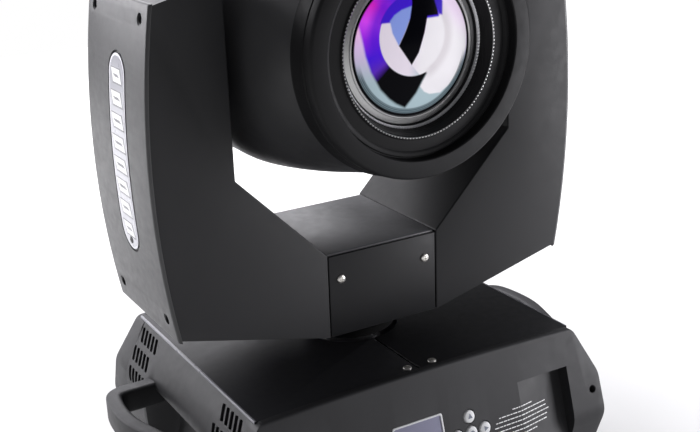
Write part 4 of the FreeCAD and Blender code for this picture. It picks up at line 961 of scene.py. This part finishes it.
feet_low, feet_high = span("rubber_feet")
FOOT_RADIUS, FOOT_HEIGHT = 15.0, 12.0
foot_profile = [(0, 0), (12.2, 0), (13.2, 0.5), (FOOT_RADIUS, 10.5), (FOOT_RADIUS, FOOT_HEIGHT),
                (0, FOOT_HEIGHT)]
feet = []
for x in (feet_low.x + FOOT_RADIUS, feet_high.x - FOOT_RADIUS):
    for y in (feet_low.y + FOOT_RADIUS, feet_high.y - FOOT_RADIUS):
        feet.append(turned("foot", foot_profile, (x, y, 0), "z", RUBBER, steps=48, closed=False))
finished(joined("feet", feet), "base", "rubber", "rubber_feet")


# ---------------------------------------------------------------- head
shell_front_low, shell_front_high = span("head_front_shell")
shell_rear_low, shell_rear_high = span("head_rear_shell")
HALF_WIDTH, HALF_HEIGHT = shell_front_high.x, (shell_front_high.z - shell_front_low.z) / 2
SHELL_FRONT, SHELL_SPLIT, SHELL_REAR = -116.0, shell_rear_low.y, shell_rear_high.y
HEAD_STATIONS = ((SHELL_FRONT, 103.5, 103.5, 2.0), (-85.0, 115.0, 110.0, 2.2), (-50.0, 125.0, 115.0, 2.6),
                 (-10.0, HALF_WIDTH, HALF_HEIGHT, 3.0), (SHELL_SPLIT, HALF_WIDTH, HALF_HEIGHT, 3.0),
                 (80.0, 118.0, 108.0, 3.0), (122.0, 97.0, 90.0, 3.0), (SHELL_REAR, 82.0, 74.0, 3.0))


def head_size(y):
    """Half width, half height and squareness of the head at a place along it, smoothly joined."""
    stations = np.array(HEAD_STATIONS)
    ys = stations[:, 0]
    number = int(np.clip(np.searchsorted(ys, y) - 1, 0, len(ys) - 2))
    p1, p2 = stations[number], stations[number + 1]
    p0, p3 = stations[max(0, number - 1)], stations[min(len(ys) - 1, number + 2)]
    width = p2[0] - p1[0]
    t = (y - p1[0]) / width
    m1 = (p2 - p0) / (p2[0] - p0[0]) * width
    m2 = (p3 - p1) / (p3[0] - p1[0]) * width
    value = ((2 * t ** 3 - 3 * t ** 2 + 1) * p1 + (t ** 3 - 2 * t ** 2 + t) * m1
             + (-2 * t ** 3 + 3 * t ** 2) * p2 + (t ** 3 - t ** 2) * m2)
    return min(value[1], HALF_WIDTH), min(value[2], HALF_HEIGHT), value[3]


def head_ring(y, inset=0.0):
    steps = 112
    half_width, half_height, squareness = head_size(y)
    ring = []
    for step in range(steps):
        angle = 2 * math.pi * step / steps
        cosine, sine = math.cos(angle), math.sin(angle)
        ring.append((math.copysign(abs(cosine) ** (2 / squareness), cosine) * (half_width - inset), y,
                     TILT + math.copysign(abs(sine) ** (2 / squareness), sine) * (half_height - inset)))
    return ring


SHELL_WALL, SHELL_RIM, SHELL_CAP, SHELL_SEAM, SHAFT_CUT_RADIUS = 3.0, 0.8, 4.0, 0.5, 17.5
SLOT_PITCH, SLOT_HALF_WIDTH, SLOT_FRONT, SLOT_BACK = 12.0, 2.4, 62, 104
GRILLE_PITCH, GRILLE_HALF_WIDTH, GRILLE_HALF_HEIGHT = 9.0, 44.0, 2.2


def shrunk(ring, y, share):
    """A ring of the head drawn in towards its axis and moved to a place along it."""
    return [(x * share, y, TILT + (z - TILT) * share) for x, _, z in ring]


def shell_piece(name, start, end, rows, closed):
    """One shell of the head: outside, a turned-in rim and the inside; closed gives it an end wall."""
    way = 1 if end > start else -1
    lip, rim = way * 1.2, way * SHELL_RIM
    loops = [head_ring(start + lip, SHELL_WALL), head_ring(start, SHELL_WALL), head_ring(start, SHELL_RIM)]
    loops += [head_ring(y) for y in np.linspace(start + rim, end - rim, rows)]
    if closed:
        outer, inner = head_ring(end), head_ring(end - way * SHELL_CAP, SHELL_WALL)
        loops.append(shrunk(outer, end - 0.4, 0.985))
        loops += [shrunk(outer, end, share) for share in (0.965, 0.8, 0.4, 0.02)]
        loops += [shrunk(inner, end - SHELL_CAP, share) for share in (0.02, 0.5)]
    else:
        loops += [head_ring(end, SHELL_RIM), head_ring(end, SHELL_WALL), head_ring(end - lip, SHELL_WALL)]
    loops += [head_ring(y, SHELL_WALL) for y in
              np.linspace(end - way * (SHELL_CAP if closed else 2.0), start + way * 2.0, rows)]
    item = grid(name, loops, SHELL, ring=True)
    worker = bmesh.new()
    worker.from_mesh(item.data)
    rims = [edge for edge in worker.edges if len(edge.link_faces) == 1]
    bmesh.ops.bridge_loops(worker, edges=rims)
    bmesh.ops.recalc_face_normals(worker, faces=worker.faces)
    worker.to_mesh(item.data)
    worker.free()
    return soften(item, 40)


def shell_vents():
    """Slots through the rear shell: two fans of long slots above and below and a grille in the end."""
    cutters = []
    for number in range(-5, 6):
        left, right = number * SLOT_PITCH - SLOT_HALF_WIDTH, number * SLOT_PITCH + SLOT_HALF_WIDTH
        back = SLOT_BACK - abs(number) * 2.0
        for low, high in ((70, 125), (-125, -70)):
            cutters.append(block("slot", (left, SLOT_FRONT, TILT + low), (right, back, TILT + high)))
    for number in range(-4, 5):
        z, half = TILT + number * GRILLE_PITCH, GRILLE_HALF_WIDTH - abs(number) * 3.0
        cutters.append(block("slot", (-half, SHELL_REAR - 12, z - GRILLE_HALF_HEIGHT),
                             (half, SHELL_REAR + 5, z + GRILLE_HALF_HEIGHT)))
    return joined("shell_slots", cutters)


front_shell = shell_piece("head_shell_front", SHELL_FRONT, SHELL_SPLIT - SHELL_SEAM, 40, False)
rear_shell = shell_piece("head_shell_rear", SHELL_SPLIT + SHELL_SEAM, SHELL_REAR, 36, True)
for shell in (front_shell, rear_shell):
    carve(shell, disc_cutter("shaft_cut", (0, TILT), SHAFT_CUT_RADIUS, "x", -150, 150))
carve(rear_shell, shell_vents())
soften(rear_shell, 40)
finished(front_shell, "head", "shell_black", "head_front_shell")
finished(rear_shell, "head", "shell_black", "head_rear_shell")


SCREW_TURN = math.radians(58)


def shell_screws():
    """Quarter-turn fasteners that hold the shells to the chassis."""
    items = []
    for y, ends in ((-30.0, (1,)), (52.0, (-1, 1))):
        half_width, half_height, power = head_size(y)
        for side in (-1, 1):
            for top in ends:
                x = side * math.cos(SCREW_TURN) ** (2 / power) * half_width
                z = top * math.sin(SCREW_TURN) ** (2 / power) * half_height
                out = Vector((x * abs(x) / half_width ** 3, 0, z * abs(z) / half_height ** 3)).normalized()
                items.append(pan_head("shell_screw", (x, y, TILT + z), out, 4.2, 1.4, GLOSS))
    return items


finished(joined("shell_fasteners", shell_screws()), "head", "screw_steel")

# ---------------------------------------------------------------- head: lens
HEAD_CENTRE = (0, 0, TILT)
bezel_profile = [
    (88.6, -139.2), (89.4, -140.0), (101.6, -140.0), (103.4, -139.2), (104.4, -137.4), (105.0, -131.0),
    (104.4, -130.4), (104.5, -129.6), (105.3, -129.0), (107.0, -116.0), (107.5, -114.6), (107.0, -114.0),
    (104.2, -114.0), (101.0, -128.0), (76.0, -128.0), (66.0, -112.0), (63.2, -112.0), (63.2, -116.6),
    (66.2, -120.8), (66.8, -120.9), (67.4, -122.8), (67.6, -122.9), (68.0, -124.6), (68.3, -124.8),
    (68.7, -126.8), (69.0, -127.2), (69.6, -129.6), (70.4, -131.6), (71.4, -132.3), (72.6, -132.0),
    (73.4, -131.0), (82.5, -130.4), (84.0, -131.6), (86.6, -131.8), (87.4, -131.0), (88.0, -131.2)]
finished(turned("lens_bezel_ring", bezel_profile, HEAD_CENTRE, "y", BEZEL, steps=160, sharp=38), "head",
         "shell_black", "lens_bezel")


TEETH = 150


def knurled_ring(name, profile, depth, material):
    """A turned ring whose rim is cut into fine teeth."""
    vertices, steps = [], TEETH * 4
    for step in range(steps):
        angle = 2 * math.pi * step / steps
        bite = depth if step % 4 < 2 else 0.0
        for number, (radius, along) in enumerate(profile):
            back = bite if number in (1, 2) else 0.0
            vertices.append((radius * math.cos(angle), along + back, TILT + radius * math.sin(angle)))
    return solid(name, vertices, woven(steps, len(profile), True, True), material)


trim_profile = [(70.8, -131.9), (71.1, -132.6), (71.9, -132.5), (72.2, -131.9), (71.5, -131.2)]
grip_profile = [(64.2, -118.6), (64.8, -120.2), (65.8, -120.9), (66.3, -120.2), (65.2, -118.0)]
lock_profile = [(55.9, -118.6), (56.8, -119.4), (57.6, -119.2), (58.2, -118.4), (61.8, -117.3),
                (62.6, -117.0), (63.1, -116.2), (63.1, -110.0), (55.9, -110.0)]
finished(knurled_ring("lens_trim_line", trim_profile, 0.5, RING), "head", "ring_metal")
finished(knurled_ring("lens_grip_line", grip_profile, 0.4, STEEL), "head", "ring_metal")
finished(turned("lens_lock_ring", lock_profile, HEAD_CENTRE, "y", RING, steps=160), "head", "ring_metal",
         "lens_retaining_ring")

LENS_RADIUS, LENS_DOME, LENS_EDGE, LENS_BACK = 55.5, 124.0, 118.5, 108.0


def soft(value, edge, blur):
    """0 below an edge, 1 above it, blurred."""
    t = np.clip((value - edge) / blur + 0.5, 0, 1)
    return t * t * (3 - 2 * t)


def within(x, z, outline, blur=0.02):
    """How far inside an outline each place is: 1 inside, 0 outside, blurred across its edge."""
    nearest = np.full(x.shape, 9.0)
    odd = np.zeros(x.shape, dtype=bool)
    for (x0, z0), (x1, z1) in zip(outline, outline[1:] + outline[:1]):
        run, rise = x1 - x0, z1 - z0
        along = np.clip(((x - x0) * run + (z - z0) * rise) / (run ** 2 + rise ** 2), 0, 1)
        nearest = np.minimum(nearest, np.hypot(x - x0 - along * run, z - z0 - along * rise))
        if rise:
            crossing = (z0 > z) != (z1 > z)
            odd ^= crossing & (x < run * (z - z0) / rise + x0)
    return soft(np.where(odd, nearest, -nearest), 0.0, blur)


# The painted reflections that show in the lens, pale panes of light and dark bars, in lens radii.
PANE_RIGHT = [(0.42, 1.1), (0.52, 0.62), (0.50, 0.42), (0.23, 0.43), (0.165, 0.2), (0.06, -0.07),
              (-0.065, -0.24), (0.08, -0.41), (0.2, -0.4), (0.13, -0.5), (0.09, -0.58), (0.17, -0.67),
              (0.27, -0.72), (0.47, -0.73), (0.66, -0.62), (0.84, -0.42), (0.95, -0.12), (0.97, 0.2),
              (0.92, 0.5), (0.8, 0.75), (0.6, 1.1)]
BAND = [(0.1, 0.85), (-0.2, 1.05), (-0.6, 1.05), (-0.97, 0.62), (-0.88, 0.4), (-0.84, 0.2), (-0.8, -0.03),
        (-0.72, -0.27), (-0.57, -0.54), (-0.42, -0.70), (-0.3, -0.79), (-0.15, -0.87), (0.03, -0.67),
        (0.13, -0.5), (0.2, -0.4), (0.1, 0.1)]
BAR = [(-0.02, 0.63), (0.0, 1.1), (0.40, 1.1), (0.42, 0.43), (0.23, 0.43), (0.165, 0.2), (0.06, -0.07),
       (-0.065, -0.24), (-0.275, 0.06), (-0.15, 0.27), (-0.07, 0.43)]
SKY = [(-0.02, 0.60), (-0.2, 0.56), (-0.32, 0.50), (-0.40, 0.42), (-0.37, 0.25), (-0.275, 0.06),
       (-0.15, 0.27), (-0.07, 0.43)]
CORNER = [(0.36, 0.70), (0.50, 0.72), (0.52, 0.60), (0.50, 0.42), (0.44, 0.43), (0.40, 0.55)]
BAND_TONES = [(60, (0.03, 0.01, 0.40)), (100, (0.06, 0.015, 0.55)), (124, (0.16, 0.02, 0.66)),
              (142, (0.60, 0.02, 0.52)), (160, (0.62, 0.06, 0.85)), (178, (0.26, 0.02, 0.72)),
              (198, (0.05, 0.01, 0.62)), (214, (0.09, 0.02, 0.42)), (224, (0.001, 0.001, 0.002)),
              (330, (0.001, 0.001, 0.002))]


def coating_and_reflection_colours(x, z):
    """The colours painted on the coated lens's disc, in lens radii: its tint with painted reflections of
    the room over it, pale panes of light, a band from magenta to violet down the left and dark bars between
    them."""
    radius = np.hypot(x, z)
    inner = np.hypot(x, z - 0.17)
    turn = np.degrees(np.arctan2(z - 0.17, x)) % 360
    colour = np.zeros(x.shape + (3,))

    def layer(paint, weight):
        colour[:] = colour * (1 - weight[..., None]) + np.asarray(paint) * weight[..., None]

    fade = soft(z, -0.05, 0.9)[..., None]
    layer(np.array((0.78, 0.50, 0.86)) * fade + np.array((0.34, 0.44, 0.48)) * (1 - fade), np.ones(x.shape))
    layer((0.86, 0.40, 0.62), soft(z, 0.35, 0.5) * soft(-x, 0.8, 0.2))
    layer((0.70, 0.68, 0.71), within(x, z, PANE_RIGHT, 0.03))
    right = soft(x, 0.2, 0.2)
    layer((0.48, 0.44, 0.47), right * soft(inner, 0.53, 0.06) * (1 - soft(inner, 0.66, 0.16)) * 0.55)
    layer((0.72, 0.55, 0.76), right * soft(z + 0.4 * x, 0.55, 0.5) * soft(radius, 0.75, 0.3) * 0.7)
    tones = np.stack([np.interp(turn, [a for a, _ in BAND_TONES], [c[n] for _, c in BAND_TONES])
                      for n in range(3)], axis=-1)
    blue = soft(turn, 128, 20) * (1 - soft(turn, 205, 20)) * (1 - soft(inner, 0.74, 0.16))
    tones = tones * (1 - 0.75 * blue[..., None]) + np.array((0.07, 0.01, 0.60)) * 0.75 * blue[..., None]
    layer(tones, within(x, z, BAND, 0.05) * soft(inner, 0.575, 0.02))
    pale = (1 - soft(inner, 0.575, 0.02)) * (1 - soft(z, 0.40, 0.03)) * (1 - soft(x, 0.0, 0.3))
    layer((0.66, 0.60, 0.68), pale)
    upper = (1 - soft(inner, 0.60, 0.02)) * soft(z, 0.40, 0.03) * (1 - soft(x, 0.44, 0.04))
    layer((0.045, 0.012, 0.50), upper)
    layer((0.20, 0.27, 0.62), within(x, z, SKY, 0.03))
    layer((0.001, 0.001, 0.002), within(x, z, BAR, 0.02))
    layer((0.035, 0.01, 0.42), within(x, z, CORNER, 0.04))
    low = soft(-z, 0.25, 0.3)
    layer((0.045, 0.07, 0.085), low * soft(radius, 0.895, 0.03) * (0.8 + 0.2 * np.sin(radius * 260)))
    layer((0.002, 0.002, 0.003), soft(radius, 0.965, 0.02))
    return colour


def make_lens():
    rise = LENS_DOME - LENS_EDGE
    curvature = (LENS_RADIUS ** 2 + rise ** 2) / (2 * rise)
    rings, steps = 130, 420
    rows = []
    for ring in range(1, rings + 1):
        radius = LENS_RADIUS * ring / rings
        depth = -LENS_DOME + curvature - math.sqrt(curvature ** 2 - radius ** 2)
        rows.append([(radius * math.cos(2 * math.pi * s / steps), depth,
                      TILT + radius * math.sin(2 * math.pi * s / steps)) for s in range(steps)])
    rows.append([(p[0], -LENS_BACK, p[2]) for p in rows[-1]])
    lens = capped(grid("lens_dome", rows, LENS, ring=True))
    places = np.empty(len(lens.data.vertices) * 3)
    lens.data.vertices.foreach_get("co", places)
    places = places.reshape(-1, 3) / MM
    colours = np.ones((len(places), 4))
    colours[:, :3] = coating_and_reflection_colours(places[:, 0] / LENS_RADIUS, (places[:, 2] - TILT) / LENS_RADIUS)
    layer = lens.data.color_attributes.new("coating_and_reflections", "FLOAT_COLOR", "POINT")
    layer.data.foreach_set("color", colours.ravel())
    return soften(lens, 50)


finished(make_lens(), "head", "lens_glass", "front_lens")

# ---------------------------------------------------------------- CAD nodes that stay as they are
KEPT = {
    POWDER: ["base_plate"],
    STEEL: ["base_bridge", "pan_tube", "pan_bearing", "pan_motor", "tilt_motor", "tilt_bearings",
            "tilt_shafts", "effect_motors", "gobo_wheel"],
    ALUMINIUM: ["power_supply", "lamp_ballast", "pan_fixed_pulley", "tilt_pulley", "pan_motor_pulley",
                "tilt_motor_pulley", "optics_chassis", "focus_carriage"],
    RUBBER: ["pan_belt", "tilt_belt"], BOARD: ["control_board"], NICKEL: ["lamp_reflector"],
    MOULDED: ["head_fan_frame", "head_fan_rotor"], SMOKED: ["color_wheel", "prism_arm", "lamp"],
}
for material, names in KEPT.items():
    for name in names:
        node = frame["nodes"][name]
        node.data.materials.clear()
        node.data.materials.append(material)


# ---------------------------------------------------------------- room, lights, camera
FLOOR_HALF_WIDTH = 2.4
SOFTBOX_COLOUR, WORLD_SEEN, WORLD_LIT = (0.97, 0.96, 1.0), 1.0, 0.12


def make_floor():
    """A pale floor, whose own glow grows away from the light so that it fades into the background."""
    mesh = bpy.data.meshes.new("floor")
    half = FLOOR_HALF_WIDTH
    corners = [(-half, -half, 0), (half, -half, 0), (half, half, 0), (-half, half, 0)]
    mesh.from_pydata(corners, [], [(0, 1, 2, 3)])
    floor = bpy.data.objects.new("floor", mesh)
    scene.collection.objects.link(floor)
    material, tree, shader = node_material("floor_white", roughness=0.7)
    tree.links.new(ramp(tree, noise(tree, 3.0), [(0.3, (0.40, 0.40, 0.40)), (0.7, (0.44, 0.44, 0.44))]),
                   shader.inputs["Base Color"])
    place = add(tree, "ShaderNodeTexCoord")
    away = add(tree, "ShaderNodeVectorMath", operation="LENGTH")
    tree.links.new(place.outputs["Object"], away.inputs[0])
    brightness = add(tree, "ShaderNodeMapRange",
               {"From Min": 0.3, "From Max": 1.3, "To Min": 0.24, "To Max": 1.0})
    tree.links.new(away.outputs["Value"], brightness.inputs["Value"])
    shader.inputs["Emission Color"].default_value = (1, 1, 1, 1)
    tree.links.new(brightness.outputs["Result"], shader.inputs["Emission Strength"])
    mesh.materials.append(material)


def softbox(name, place, target, size, power):
    light = bpy.data.lights.new(name, "AREA")
    light.shape = "RECTANGLE"
    light.size, light.size_y = size
    light.energy = power
    light.color = SOFTBOX_COLOUR
    item = bpy.data.objects.new(name, light)
    scene.collection.objects.link(item)
    item.location = place
    item.rotation_euler = (Vector(target) - Vector(place)).to_track_quat("-Z", "Y").to_euler()


def make_world():
    """A white background to the camera and a dim fill to everything else."""
    world = bpy.data.worlds.new("studio")
    scene.world = world
    world.use_nodes = True
    tree = world.node_tree
    tree.nodes.clear()
    path = add(tree, "ShaderNodeLightPath")
    shown = add(tree, "ShaderNodeBackground", {"Strength": WORLD_SEEN, "Color": (1, 1, 1, 1)})
    fill = add(tree, "ShaderNodeBackground", {"Strength": WORLD_LIT, "Color": (0.96, 0.96, 1, 1)})
    mix = add(tree, "ShaderNodeMixShader")
    out = add(tree, "ShaderNodeOutputWorld")
    tree.links.new(path.outputs["Is Camera Ray"], mix.inputs["Fac"])
    tree.links.new(fill.outputs["Background"], mix.inputs[1])
    tree.links.new(shown.outputs["Background"], mix.inputs[2])
    tree.links.new(mix.outputs["Shader"], out.inputs["Surface"])


def make_camera():
    azimuth, elevation, roll = (math.radians(v) for v in (CAMERA_AZIMUTH, CAMERA_ELEVATION, CAMERA_ROLL))
    back = Vector((math.sin(azimuth) * math.cos(elevation), -math.cos(azimuth) * math.cos(elevation),
                   math.sin(elevation)))
    right = Vector((math.cos(azimuth), math.sin(azimuth), 0))
    up = back.cross(right)
    rolled_right = right * math.cos(roll) + up * math.sin(roll)
    rolled_up = up * math.cos(roll) - right * math.sin(roll)
    data = bpy.data.cameras.new("camera")
    data.lens = CAMERA_LENS
    data.sensor_width = 36.0
    camera = bpy.data.objects.new("camera", data)
    scene.collection.objects.link(camera)
    turn = Matrix((rolled_right, rolled_up, back)).transposed().to_4x4()
    camera.matrix_world = Matrix.Translation(Vector(CAMERA_TARGET) + back * CAMERA_DISTANCE) @ turn
    scene.camera = camera


make_floor()
softbox("left_softbox", (-1.5, 1.65, 0.95), (0, 0, 0.5), (1.4, 1.2), 40)
softbox("top_softbox", (0.35, 0.9, 2.2), (0, 0, 0.2), (1.8, 1.4), 78)
softbox("rear_softbox", (0.1, 1.7, 0.95), (0, 0, 0.3), (1.6, 0.9), 14)
softbox("right_softbox", (0.85, -0.62, 0.28), (0.1, -0.05, 0.3), (0.5, 0.5), 7.6)
make_world()
make_camera()
scene.view_settings.view_transform = "Standard"
